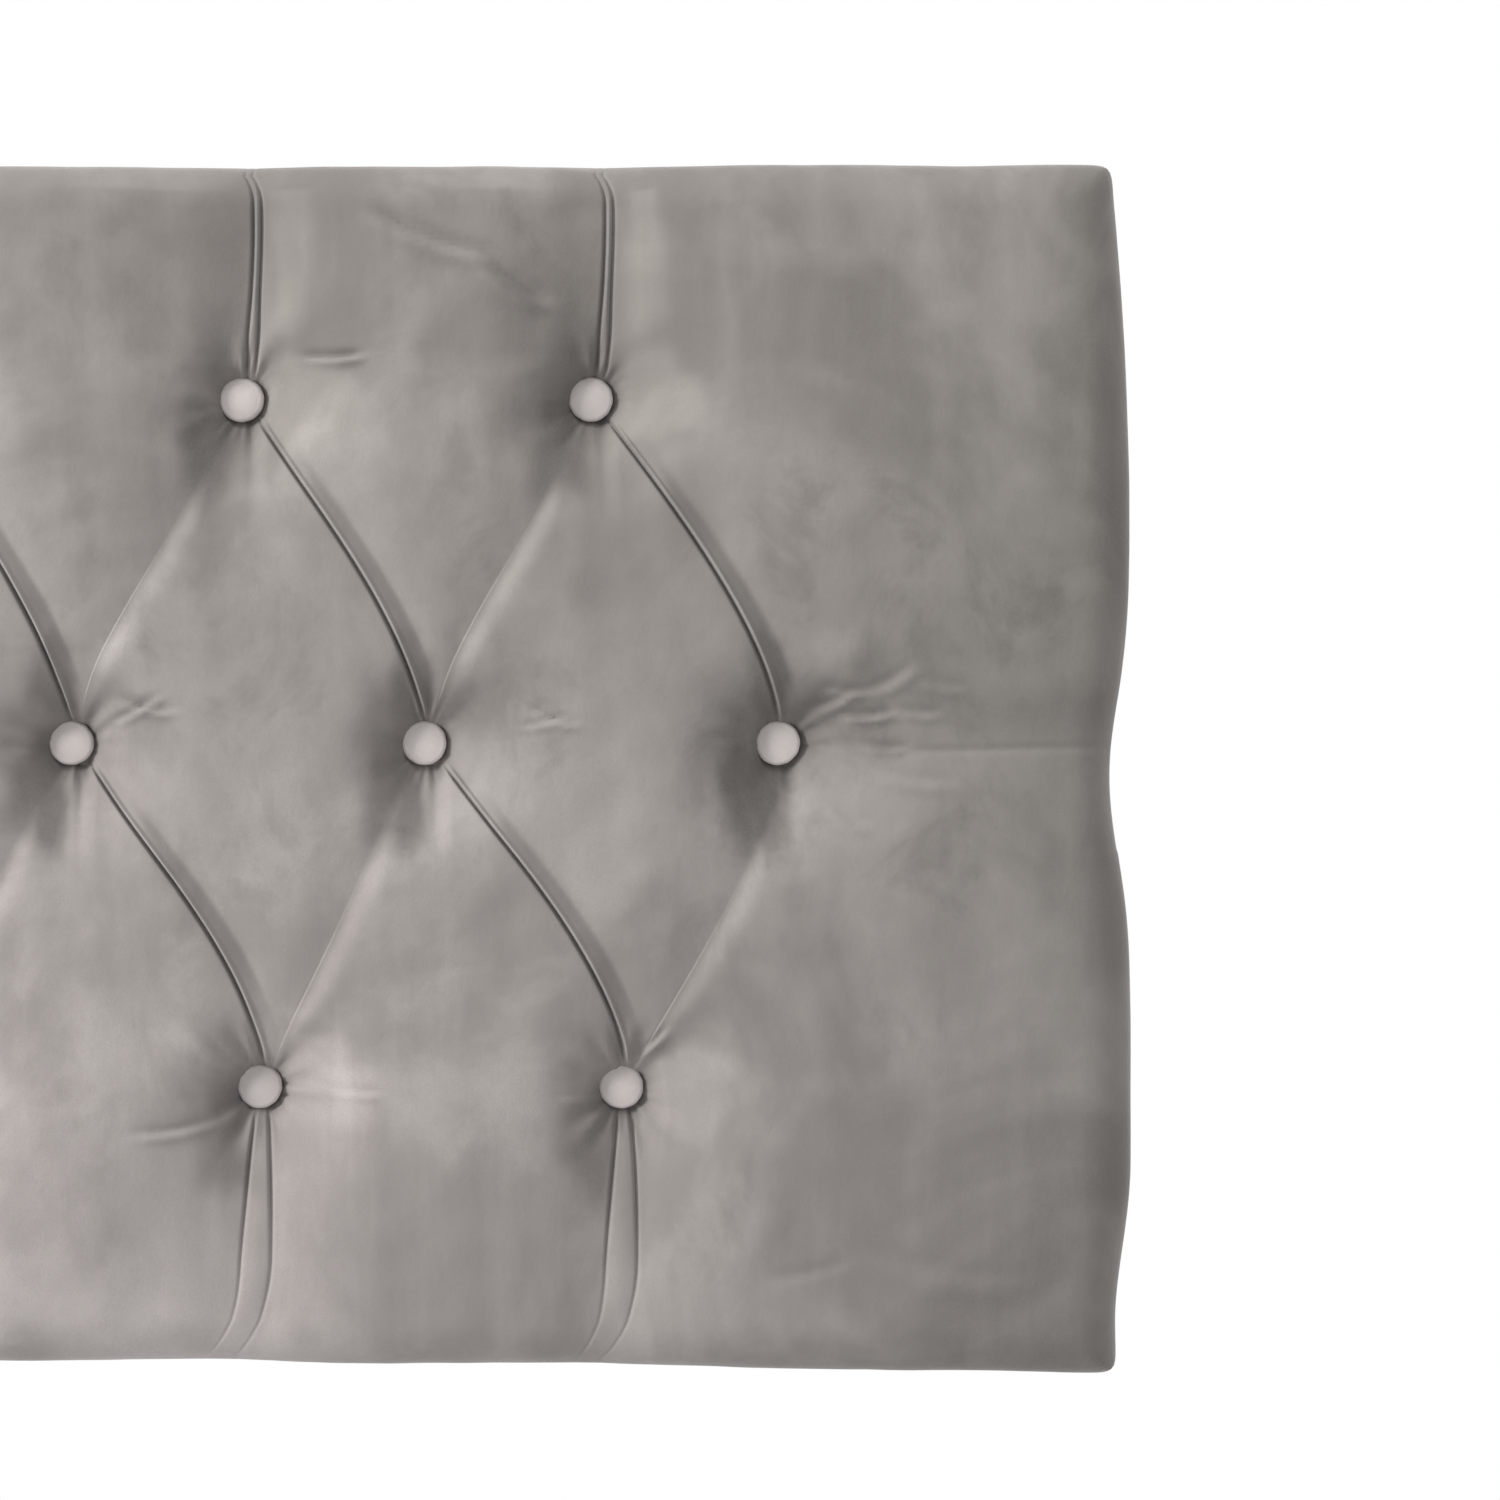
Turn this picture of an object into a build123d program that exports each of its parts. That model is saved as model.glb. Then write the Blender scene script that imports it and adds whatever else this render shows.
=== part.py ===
"""Deep-buttoned headboard for a double bed: timber frame, board, padding, velvet cover and buttons.

Sizes are millimetres. +X is to the right as seen from the room, -Y points into the room, +Z is up.
The origin is the centre of the four strut bolts, on the plane where the bed's struts lie.
"""

import os
from math import cos, radians, sin, sqrt

from build123d import *

os.makedirs("parts", exist_ok=True)

# Whole panel
panel_width = 1372.0
panel_height = 586.0

# Strut bolts: M8, two to each strut
bolts_above_bottom = 250.0
bolt_spacing = 200.0
bolt_hole_radius = 4.2

# Button rows: the outer rows' distances from their edges, and the spacing along the rows, which
# widens a little from the top row to the bottom row
bottom_row_height = 134.0
top_row_drop = 114.0
button_pitch = 174.0
bottom_row_widening = 4.0
top_row_narrowing = 2.0

# Layers, from the back to the front
lining_thickness = 0.8
cover_thickness = 1.2
frame_depth = 20.0
board_thickness = 9.0
foam_thickness = 15.0
wadding_thickness = 6.0
button_depth = 32.0

# Buttoned form
seat_half = 13.0
crease_depth_share = 0.62
crease_bow = 20.0
pleat_width = 8.0
pleat_shoulder = 36.0
pleat_shoulder_depth = 19.0
pleat_edge_depth = 9.0
fold_width = 1.0
fold_lift = 0.5
margin_rise = 95.0
margin_flat = 8.0
margin_fall = 3.0
side_pleat_depth = 6.0
side_bulge = 10.0
side_radius = 28.0
side_tuck = 1.5
edge_radius = 20.0
corner_cut = 2.5
levels_between_rows = 6
levels_along_pleats = 2
round_angles = (0.0, 45.0, 90.0)

# Corners of the wadding, cover hem and back lining
wadding_corner = 8.0
hem_width = 45.0
lining_margin = 12.0

# Timber frame
rail_width = 60.0
stile_width = 60.0
batten_clearance = 11.0

# Tee nuts
nut_flange_radius = 11.0
nut_flange_sides = 8
nut_flange_thickness = 1.5
nut_barrel_radius = 5.4
nut_barrel_length = 12.5

# Buttons
button_radius = 11.0
button_rim = 3.0
button_height = 7.0
button_sides = 16

# Button twines
twine_radius = 1.2
twine_sides = 6
board_hole_radius = 3.0
twine_tail = 32.0
twine_staple_place = 20.0

# Staples: one wire and crown, with legs for each use
staple_wire = 1.0
staple_crown = 10.0
twine_staple_bite = 6.0
hem_staple_leg = 10.0
hem_staple_inset = 28.0
hem_staple_count = 8
hem_side_staple_count = 3
lining_staple_leg = 8.0
lining_staple_inset = 20.0
lining_staple_count = 7
lining_side_staple_count = 2
board_staple_leg = 22.0
board_staple_count = 5

# Corrugated fasteners across the frame's joints
fastener_wave = 6.0
fastener_waves = 4
fastener_swing = 2.0
fastener_metal = 1.0
fastener_depth = 10.0

# Heights
bottom_z = -bolts_above_bottom
top_z = bottom_z + panel_height
panel_middle_z = (bottom_z + top_z) / 2
bottom_row_z = bottom_z + bottom_row_height
top_row_z = top_z - top_row_drop
middle_row_z = (bottom_row_z + top_row_z) / 2

# Planes through the depth, from the lining towards the crown of the pillows
lining_front_y = -lining_thickness
frame_back_y = lining_front_y - cover_thickness
frame_front_y = frame_back_y - frame_depth
board_front_y = frame_front_y - board_thickness
foam_front_y = board_front_y - foam_thickness
wadding_front_y = foam_front_y - wadding_thickness
seat_y = wadding_front_y - cover_thickness
crown_y = seat_y - button_depth

# Outlines: the cover's back, the wadding, and the block of foam, board and frame inside it
back_width = panel_width - 2 * side_tuck
wadding_width = back_width - 2 * cover_thickness
wadding_height = panel_height - 2 * cover_thickness
block_width = wadding_width - 2 * wadding_thickness
block_height = wadding_height - 2 * wadding_thickness
upright_height = block_height - 2 * rail_width
rail_offset = (block_height - rail_width) / 2
stile_offset = (block_width - stile_width) / 2
joint_offset = upright_height / 2


def spread(count, pitch):
    """Evenly spaced places about zero."""
    return [(index - (count - 1) / 2) * pitch for index in range(count)]


# Buttons: the middle row takes as many as fit between the edge pillows, the outer rows one fewer
least_side_bay = seat_half + margin_rise + margin_flat + side_radius
middle_row_count = int((panel_width - 2 * least_side_bay) / button_pitch) + 1
outer_row_count = middle_row_count - 1
bottom_row = spread(outer_row_count, button_pitch + bottom_row_widening)
middle_row = spread(middle_row_count, button_pitch)
top_row = spread(outer_row_count, button_pitch - top_row_narrowing)
button_places = [
    (x, z)
    for row, z in ((bottom_row, bottom_row_z), (middle_row, middle_row_z), (top_row, top_row_z))
    for x in row
]

# Struts and their battens: each batten fills the gap between two columns of twines
twine_gap = (middle_row[-2], top_row[-1])
strut_spacing = sum(twine_gap)
batten_width = twine_gap[1] - twine_gap[0] - 2 * batten_clearance
batten_offset = strut_spacing / 2


def plane_at(y):
    """The upright plane at a depth: its own x is +X, its own y is +Z, and it faces the room."""
    return Plane.XZ.offset(-y)


def mix(start, end, share):
    """The value a share of the way from start to end."""
    return start + (end - start) * share


def shares_to(steps):
    """Even shares from 0 to 1."""
    return [index / steps for index in range(steps + 1)]


def swell(share):
    """A parabola that is 0 at both ends of a span and 1 in its middle."""
    return 4 * share * (1 - share)


def side_swell(z):
    """How far the padded side stands out at a height: two bulges with a waist at the middle row."""
    end_z = top_z if z > middle_row_z else bottom_z
    return side_bulge * swell((z - middle_row_z) / (end_z - middle_row_z))


def edge_level(row, row_z, end_z, angle):
    """A level on the rounded top or bottom edge, where the edge has turned by an angle."""
    out = 1 if end_z > row_z else -1
    turned = 1 - cos(radians(angle))
    pleat = pleat_edge_depth * (1 - turned / 2)
    return {
        "z": end_z - out * edge_radius * (1 - sin(radians(angle))),
        "creases": [(x - pleat_width / 2, x + pleat_width / 2) for x in row],
        "depths": (pleat, pleat, 0.0),
        "fold": (fold_width, fold_lift),
        "margin": 0.0,
        "front": crown_y + edge_radius * turned,
        "edge": panel_width / 2 - corner_cut * turned,
    }


def pleat_level(row, row_z, end_z, share):
    """A level beyond an outer row, on the pleats that narrow from each button, at share 0."""
    out = 1 if end_z > row_z else -1
    half = mix(seat_half, pleat_width / 2, share)
    depth = mix(button_depth, pleat_shoulder_depth, share)
    return {
        "z": row_z + out * (seat_half + share * pleat_shoulder),
        "creases": [(x - half, x + half) for x in row],
        "depths": (depth, depth, 0.0),
        "fold": (fold_width, fold_lift),
        "margin": 0.0,
        "front": crown_y,
        "edge": panel_width / 2,
    }


def diamond_level(row, row_z, share):
    """A level between an outer row, at share 0, and the middle row, at share 1.

    Of the two creases that leave each button, the one that falls to the right bows out to the
    right and the other is straight. A diamond is widest, and at its crown, at the middle row.
    """
    out = 1 if row_z > middle_row_z else -1
    bow = crease_bow * swell(share)
    left_bow, right_bow = (0.0, bow) if out > 0 else (bow, 0.0)
    lefts = [mix(x - seat_half, middle_row[k] + seat_half, share) + left_bow for k, x in enumerate(row)]
    rights = [mix(x + seat_half, middle_row[k + 1] - seat_half, share) + right_bow for k, x in enumerate(row)]
    crease = button_depth * (1 - (1 - crease_depth_share) * swell(share))
    return {
        "z": mix(row_z - out * seat_half, middle_row_z + out * seat_half, share),
        "creases": list(zip(lefts, rights)),
        "depths": (crease, button_depth * (1 - share) ** 2, button_depth * share ** 2),
        "fold": (mix(fold_width, 2 * seat_half, share ** 3), fold_lift * (1 - share)),
        "margin": side_pleat_depth * share ** 3,
        "front": crown_y,
        "edge": panel_width / 2,
    }


def half_levels(row, row_z, end_z):
    """The levels of half the panel, from its top or bottom edge to the middle row."""
    edge = [edge_level(row, row_z, end_z, angle) for angle in reversed(round_angles)]
    pleats = [pleat_level(row, row_z, end_z, share) for share in reversed(shares_to(levels_along_pleats))]
    diamonds = [diamond_level(row, row_z, share) for share in shares_to(levels_between_rows)]
    return edge + pleats + diamonds


def arc_middle(run, height):
    """Drop, half way along, of an arc that climbs a height over a run and ends level."""
    radius = (run ** 2 + height ** 2) / (2 * height)
    return radius - sqrt(radius ** 2 - (run / 2) ** 2)


def pillow(start_x, end_x, crease_y, crown_depth_y):
    """One pillow between two creases: an arc over its crown, or a line where a button sits."""
    if crease_y - crown_depth_y > fold_lift:
        ThreePointArc((start_x, crease_y), ((start_x + end_x) / 2, crown_depth_y), (end_x, crease_y))
    else:
        Line((start_x, crease_y), (end_x, crease_y))


def margin(side, crease_x, level):
    """The profile from the outermost crease, over the edge pillow, round to the panel's back."""
    fold_run, lift = level["fold"]
    crease = (crease_x, level["front"] + level["depths"][0])
    fold = (crease_x + side * fold_run, crease[1] - lift)
    crown = (fold[0] + side * margin_rise, level["front"] + level["margin"])
    rise = (fold[0] + side * margin_rise / 2, crown[1] + arc_middle(margin_rise, fold[1] - crown[1]))
    round_x = level["edge"] + side_swell(level["z"]) - side_radius
    turn = (side * round_x, crown[1] + margin_fall)
    bend = (side * (round_x + side_radius * sin(radians(45))), turn[1] + side_radius * (1 - cos(radians(45))))
    widest = (side * (round_x + side_radius), turn[1] + side_radius)
    tuck = (side * (level["edge"] - side_tuck), board_front_y)
    back = (tuck[0], lining_front_y)
    Line(crease, fold)
    ThreePointArc(fold, rise, crown)
    Line(crown, turn)
    ThreePointArc(turn, bend, widest)
    Line(widest, tuck)
    Line(tuck, back)
    return back


def staple(leg):
    """A staple with its crown's back at the origin and its legs pointing into the room."""
    inner = staple_crown / 2 - staple_wire
    outer = staple_crown / 2
    with BuildPart() as wire:
        with BuildSketch(Plane.XY):
            Polygon(
                (-outer, 0), (-outer, -leg), (-inner, -leg), (-inner, -staple_wire),
                (inner, -staple_wire), (inner, -leg), (outer, -leg), (outer, 0),
                align=None,
            )
        extrude(amount=staple_wire / 2, both=True)
    return wire.part


def edge_staples(inset, count, side_count, y):
    """Staple places round the back, at an inset from the panel's edge, crowns along the edge."""
    half_width = back_width / 2 - inset
    half_height = panel_height / 2 - inset
    along = spread(count, 2 * half_width / count)
    up = spread(side_count, 2 * half_height / side_count)
    flat = [Location((x, y, panel_middle_z + z)) for z in (-half_height, half_height) for x in along]
    turned = [Location((x, y, panel_middle_z + z), (0, 90, 0)) for x in (-half_width, half_width) for z in up]
    return flat + turned


# The cover and the stuffing that its buttoning holds in place are one form: a ruled loft through
# level profiles from the bottom edge to the top edge. Each profile is a row of arcs between
# creases, and the creases meet at the buttons.
form_levels = half_levels(bottom_row, bottom_row_z, bottom_z) + half_levels(top_row, top_row_z, top_z)[::-1]
with BuildPart() as velvet_cover:
    for level in form_levels:
        crease_depth, diamond_depth, bay_depth = level["depths"]
        crease_y = level["front"] + crease_depth
        creases = level["creases"]
        with BuildSketch(Plane.XY.offset(level["z"])):
            with BuildLine():
                left_back = margin(-1, creases[0][0], level)
                right_back = margin(1, creases[-1][1], level)
                Line(left_back, right_back)
                for left_x, right_x in creases:
                    pillow(left_x, right_x, crease_y, level["front"] + diamond_depth)
                for (_, left_x), (right_x, _) in zip(creases, creases[1:]):
                    pillow(left_x, right_x, crease_y, level["front"] + bay_depth)
            make_face()
    loft(ruled=True)
    with BuildSketch(plane_at(frame_back_y)) as inside:
        with Locations((0, panel_middle_z)):
            Rectangle(wadding_width, wadding_height)
        chamfer(inside.vertices(), wadding_corner)
    extrude(amount=frame_back_y - wadding_front_y, mode=Mode.SUBTRACT)
    with BuildSketch(plane_at(lining_front_y)):
        with Locations((0, panel_middle_z)):
            Rectangle(back_width - 2 * hem_width, panel_height - 2 * hem_width)
    extrude(amount=cover_thickness, mode=Mode.SUBTRACT)
velvet_cover.part.label = "velvet_cover"
export_step(velvet_cover.part, "parts/velvet_cover.step")

# Wadding: a sheet over the foam that wraps the edges as far as the frame's back
with BuildPart() as wadding:
    with BuildSketch(plane_at(frame_back_y)) as outside:
        with Locations((0, panel_middle_z)):
            Rectangle(wadding_width, wadding_height)
        chamfer(outside.vertices(), wadding_corner)
    extrude(amount=frame_back_y - wadding_front_y)
    with BuildSketch(plane_at(frame_back_y)):
        with Locations((0, panel_middle_z)):
            Rectangle(block_width, block_height)
    extrude(amount=frame_back_y - foam_front_y, mode=Mode.SUBTRACT)
wadding.part.label = "wadding"
export_step(wadding.part, "parts/wadding.step")

with BuildPart() as foam_pad:
    with BuildSketch(plane_at(board_front_y)):
        with Locations((0, panel_middle_z)):
            Rectangle(block_width, block_height)
    extrude(amount=foam_thickness)
foam_pad.part.label = "foam_pad"
export_step(foam_pad.part, "parts/foam_pad.step")

# Front board, drilled for the twines
with BuildPart() as front_board:
    with BuildSketch(plane_at(frame_front_y)):
        with Locations((0, panel_middle_z)):
            Rectangle(block_width, block_height)
        with Locations(*button_places):
            RegularPolygon(board_hole_radius, twine_sides, mode=Mode.SUBTRACT)
    extrude(amount=board_thickness)
front_board.part.label = "front_board"
export_step(front_board.part, "parts/front_board.step")

# Frame: two rails, and two stiles between them
for name, side in (("bottom_rail", -1), ("top_rail", 1)):
    with BuildPart() as rail:
        with BuildSketch(plane_at(frame_back_y)):
            with Locations((0, panel_middle_z + side * rail_offset)):
                Rectangle(block_width, rail_width)
        extrude(amount=frame_depth)
    rail.part.label = name
    export_step(rail.part, f"parts/{name}.step")

for name, side in (("left_stile", -1), ("right_stile", 1)):
    with BuildPart() as stile:
        with BuildSketch(plane_at(frame_back_y)):
            with Locations((side * stile_offset, panel_middle_z)):
                Rectangle(stile_width, upright_height)
        extrude(amount=frame_depth)
    stile.part.label = name
    export_step(stile.part, f"parts/{name}.step")

# Strut battens: they stand as far back as the hem, so the lining lies flat over both
for name, side in (("left_strut_batten", -1), ("right_strut_batten", 1)):
    with BuildPart(plane_at(frame_front_y)) as batten:
        with BuildSketch(plane_at(lining_front_y)):
            with Locations((side * batten_offset, panel_middle_z)):
                Rectangle(batten_width, upright_height)
        extrude(amount=lining_front_y - frame_front_y)
        with Locations(*[(side * batten_offset, z) for z in spread(2, bolt_spacing)]):
            Hole(nut_barrel_radius)
    batten.part.label = name
    export_step(batten.part, f"parts/{name}.step")

# Tee nuts, hammered in flush from the front so that the strut bolts pull their flanges tight
with BuildPart(plane_at(frame_front_y)) as tee_nuts:
    with BuildSketch(plane_at(frame_front_y)):
        with GridLocations(strut_spacing, bolt_spacing, 2, 2):
            RegularPolygon(nut_flange_radius, nut_flange_sides)
    extrude(amount=-nut_flange_thickness)
    with BuildSketch(plane_at(frame_front_y)):
        with GridLocations(strut_spacing, bolt_spacing, 2, 2):
            Circle(nut_barrel_radius)
    extrude(amount=-(nut_flange_thickness + nut_barrel_length))
    with GridLocations(strut_spacing, bolt_spacing, 2, 2):
        Hole(bolt_hole_radius)
tee_nuts.part.label = "tee_nuts"
export_step(tee_nuts.part, "parts/tee_nuts.step")

# Back lining, punched for the strut bolts
with BuildPart() as back_lining:
    with BuildSketch(plane_at(0)):
        with Locations((0, panel_middle_z)):
            Rectangle(back_width - 2 * lining_margin, panel_height - 2 * lining_margin)
        with GridLocations(strut_spacing, bolt_spacing, 2, 2):
            Circle(bolt_hole_radius, mode=Mode.SUBTRACT)
    extrude(amount=lining_thickness)
back_lining.part.label = "back_lining"
export_step(back_lining.part, "parts/back_lining.step")

# Covered button, with its back on the seat: a straight rim under a sloping shoulder and flat top
with BuildPart() as button:
    with BuildSketch(plane_at(seat_y)):
        RegularPolygon(button_radius, button_sides)
    extrude(amount=button_height)
    chamfer(button.faces().sort_by(Axis.Y)[0].edges(), button_height - button_rim)

# One twine: it comes off the button's back, through the padding and the board, and turns along
# the board's back, where its tail is stapled down
with BuildPart() as twine:
    with BuildLine():
        back_y = frame_front_y + twine_radius
        Polyline((0, seat_y, 0), (0, back_y, 0), (0, back_y, twine_tail))
    with BuildSketch(plane_at(seat_y)):
        RegularPolygon(twine_radius, twine_sides, major_radius=False)
    sweep(transition=Transition.RIGHT)

# Rows of buttons, twines and twine staples; the top row's tails hang down, clear of the rail
for name, row, row_z, lean in (
    ("bottom_row", bottom_row, bottom_row_z, 0),
    ("middle_row", middle_row, middle_row_z, 0),
    ("top_row", top_row, top_row_z, 180),
):
    with BuildPart() as row_buttons:
        with Locations(*[(x, 0, row_z) for x in row]):
            add(button.part)
    row_buttons.part.label = f"{name}_buttons"
    export_step(row_buttons.part, f"parts/{name}_buttons.step")
    with BuildPart() as row_twines:
        with Locations(*[Location((x, 0, row_z), (0, lean, 0)) for x in row]):
            add(twine.part)
    row_twines.part.label = f"{name}_twines"
    export_step(row_twines.part, f"parts/{name}_twines.step")

twine_staple_y = frame_front_y + 2 * twine_radius + staple_wire
with BuildPart() as twine_staples:
    with Locations(
        *[(x, twine_staple_y, bottom_row_z + twine_staple_place) for x in bottom_row],
        *[(x, twine_staple_y, middle_row_z + twine_staple_place) for x in middle_row],
        *[(x, twine_staple_y, top_row_z - twine_staple_place) for x in top_row],
    ):
        add(staple(twine_staple_y - frame_front_y + twine_staple_bite))
twine_staples.part.label = "twine_staples"
export_step(twine_staples.part, "parts/twine_staples.step")

# Staples through the hem and through the lining, driven flush from the back
with BuildPart() as hem_staples:
    with Locations(*edge_staples(hem_staple_inset, hem_staple_count, hem_side_staple_count, lining_front_y)):
        add(staple(hem_staple_leg))
hem_staples.part.label = "hem_staples"
export_step(hem_staples.part, "parts/hem_staples.step")

with BuildPart() as lining_staples:
    with Locations(*edge_staples(lining_staple_inset, lining_staple_count, lining_side_staple_count, 0)):
        add(staple(lining_staple_leg))
lining_staples.part.label = "lining_staples"
export_step(lining_staples.part, "parts/lining_staples.step")

# Staples that hold the board to the frame, driven flush from the front
rail_places = [
    (x, panel_middle_z + z)
    for z in (-rail_offset, rail_offset)
    for x in spread(board_staple_count, block_width / board_staple_count)
]
upright_places = [(x, 0) for x in (-stile_offset, -batten_offset, batten_offset, stile_offset)]
with BuildPart() as board_staples:
    with Locations(
        *[Location((x, board_front_y, z), (0, 0, 180)) for x, z in rail_places],
        *[Location((x, board_front_y, z), (0, 0, 180)) for x, z in upright_places],
    ):
        add(staple(board_staple_leg))
board_staples.part.label = "board_staples"
export_step(board_staples.part, "parts/board_staples.step")

# Corrugated fasteners, one across each joint between an upright and a rail
half_length = fastener_waves * fastener_wave / 2
wave_points = [
    (fastener_swing / 2 * (1 if index % 2 else -1), index * fastener_wave - half_length)
    for index in range(fastener_waves + 1)
]
fastener_outline = wave_points + [(x + fastener_metal, z) for x, z in reversed(wave_points)]
with BuildPart() as corner_fasteners:
    with BuildSketch(plane_at(frame_back_y)):
        with Locations(*[
            (x, panel_middle_z + z)
            for x in (-stile_offset, -batten_offset, batten_offset, stile_offset)
            for z in (-joint_offset, joint_offset)
        ]):
            Polygon(*fastener_outline, align=None)
    extrude(amount=fastener_depth)
corner_fasteners.part.label = "corner_fasteners"
export_step(corner_fasteners.part, "parts/corner_fasteners.step")
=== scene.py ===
"""Looks for a deep-buttoned velvet headboard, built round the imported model.

Lengths inside the shape functions are millimetres, and MM turns them into the frame's metres.
+X is to the right, -Y points into the room and +Z is up.
"""

import math

import bpy
import numpy as np
from bpy.props import FloatProperty, FloatVectorProperty, IntProperty, PointerProperty
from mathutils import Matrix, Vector


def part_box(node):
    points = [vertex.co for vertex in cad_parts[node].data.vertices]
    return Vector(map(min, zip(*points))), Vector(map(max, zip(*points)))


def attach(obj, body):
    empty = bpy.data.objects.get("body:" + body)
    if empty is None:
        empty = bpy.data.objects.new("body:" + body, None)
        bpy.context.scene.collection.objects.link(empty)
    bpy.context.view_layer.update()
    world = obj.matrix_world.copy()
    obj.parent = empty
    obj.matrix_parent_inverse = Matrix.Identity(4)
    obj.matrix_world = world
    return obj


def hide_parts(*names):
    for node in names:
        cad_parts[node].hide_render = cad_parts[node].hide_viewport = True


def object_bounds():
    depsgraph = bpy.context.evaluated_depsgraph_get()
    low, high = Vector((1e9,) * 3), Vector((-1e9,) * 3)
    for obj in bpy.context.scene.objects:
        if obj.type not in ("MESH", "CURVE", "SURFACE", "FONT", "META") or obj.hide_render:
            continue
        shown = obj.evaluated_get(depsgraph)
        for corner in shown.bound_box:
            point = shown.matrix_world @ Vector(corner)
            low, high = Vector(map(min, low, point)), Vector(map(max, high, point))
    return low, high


bl_info = {
    "name": "Buttoned headboard",
    "version": (1, 0, 0),
    "blender": (4, 5, 0),
    "location": "3D View > Sidebar > Headboard",
    "description": "Builds the velvet cover, buttons, lining and fittings of a buttoned headboard",
    "category": "Add Mesh",
}

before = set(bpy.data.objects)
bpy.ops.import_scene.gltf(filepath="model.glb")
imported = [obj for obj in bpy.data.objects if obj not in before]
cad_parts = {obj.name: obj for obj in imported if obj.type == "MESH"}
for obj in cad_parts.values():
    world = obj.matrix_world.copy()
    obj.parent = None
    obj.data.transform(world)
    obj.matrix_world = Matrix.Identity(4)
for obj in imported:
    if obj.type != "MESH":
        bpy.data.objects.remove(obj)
cad_low, cad_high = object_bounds()

MM = 0.001
ROW_NAMES = ("bottom_row", "middle_row", "top_row")
ROW_COUNTS = (6, 7, 6)


def node_box(node):
    """A node's lowest and highest corners, in millimetres."""
    low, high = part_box(node)
    return np.array(low) / MM, np.array(high) / MM


def button_row(name, count):
    """Centres of a row's buttons along X, and the row's height."""
    low, high = node_box(f"{name}_buttons")
    radius = (high[2] - low[2]) / 2
    return np.linspace(low[0] + radius, high[0] - radius, count), (low[2] + high[2]) / 2


# Places and sizes worked out from the frame
BOTTOM_X, BOTTOM_Z = button_row(ROW_NAMES[0], ROW_COUNTS[0])
MIDDLE_X, MIDDLE_Z = button_row(ROW_NAMES[1], ROW_COUNTS[1])
TOP_X, TOP_Z = button_row(ROW_NAMES[2], ROW_COUNTS[2])
BOTTOM_ROW = [(x, BOTTOM_Z) for x in BOTTOM_X]
MIDDLE_ROW = [(x, MIDDLE_Z) for x in MIDDLE_X]
TOP_ROW = [(x, TOP_Z) for x in TOP_X]
BUTTONS = BOTTOM_ROW + MIDDLE_ROW + TOP_ROW
COVER_LOW, COVER_HIGH = node_box("velvet_cover")
BUTTON_LOW, BUTTON_HIGH = node_box("middle_row_buttons")
LINING_LOW, LINING_HIGH = node_box("back_lining")
WADDING_LOW, WADDING_HIGH = node_box("wadding")
FOAM_LOW, FOAM_HIGH = node_box("foam_pad")
NUT_LOW, NUT_HIGH = node_box("tee_nuts")
NUT_RADIUS = 11.0
STRUTS = (NUT_LOW[0] + NUT_RADIUS, NUT_HIGH[0] - NUT_RADIUS)
BOLTS = (NUT_LOW[2] + NUT_RADIUS, NUT_HIGH[2] - NUT_RADIUS)
PANEL_HALF = 686.0
CROWN_Y = COVER_LOW[1]
BACK_Y = COVER_HIGH[1]
BUTTON_RADIUS = (BUTTON_HIGH[2] - BUTTON_LOW[2]) / 2

# Roundovers and wrap of the cover
SIDE_ROUND = 26.0
EDGE_ROUND = 23.0
SIDE_TUCK = 1.5
EDGE_TUCK = 0.3
ROUND_RINGS = 12
WALL_RINGS = 10
BACK_ROUND = 2.5
BACK_ROUND_RINGS = 3
HEM_SHOWN = 45.0
HEM_RINGS = 3
HEM_THICKNESS = 1.2
CORNER_POWER = 8.0
# The padded sides stand out this far above and below the middle row, and their waist lies lower
SWELL_TOP = 9.0
SWELL_LOW = 9.4
SWELL_LOST_LOW = 7.5
WAIST_DEPTH = 9.8
WAIST_DROP = 17.0
LOWER_CORNER_DROP = 6.0

# Columns and rows of the cover's grid
FINE_COLUMNS = 10
FINE_REACH = 4.6
CELL_COLUMNS = 24
MARGIN_COLUMNS = 48
COLUMN_SPREAD = 1.3
ROW_STEP_NEAR = 1.5
ROW_STEP_FAR = 2.5
ROW_NEAR_REACH = 42.0

# Lines of the creases between the rows: how much the sharp ones bow out, and the soft ones sway
SEAM_HALF = 1.5
BOW_SHARE_ABOVE = 0.86
BOW_SHARE_BELOW = 1.12
SOFT_SWAY_ABOVE = 3.5
SOFT_BOW_BELOW = 3.0
LAST_SOFT_BOW = 13.0
# Lines of the pleats beyond the rows
PLEAT_LEAN = 6.8
PLEAT_DRIFT = 3.0
PLEAT_RETURN = 5.0
PLEAT_GAP = 3.6
PLEAT_SWELL = 1.6
LEAF_LEFT = 5.5
LEAF_RIGHT = 8.0
LEAF_BEND_LEFT = 8.0
LEAF_BEND_RIGHT = 11.0

# Relief of the soft creases, sharp creases and pleats
SOFT_DEPTH = 4.0
SOFT_REACH_LEFT = 24.0
SOFT_REACH_RIGHT = 8.0
SHARP_DEPTH = 1.4
SHARP_REACH_LEFT = 10.0
SHARP_REACH_RIGHT = 14.0
GROOVE_DEPTH = 3.2
GROOVE_HALF = 0.95
LIP_HEIGHT = 1.7
LIP_PLACE = 2.0
LIP_HALF = 1.35
FOLD_DEPTH = 5.2
FOLD_REACH = 11.0
FOLD_FADE = 18.0
PLEAT_DEPTH = 12.0
PLEAT_GROOVE_SHARE = 0.7
PLEAT_REACH_RIGHT = 22.0
PLEAT_REACH_LEFT_ABOVE = 38.0
PLEAT_REACH_LEFT_BELOW = 34.0
RIDGE_HEIGHT = 1.3
PUFF_DEPTH = 1.0
PUFF_REACH = 90.0
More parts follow.
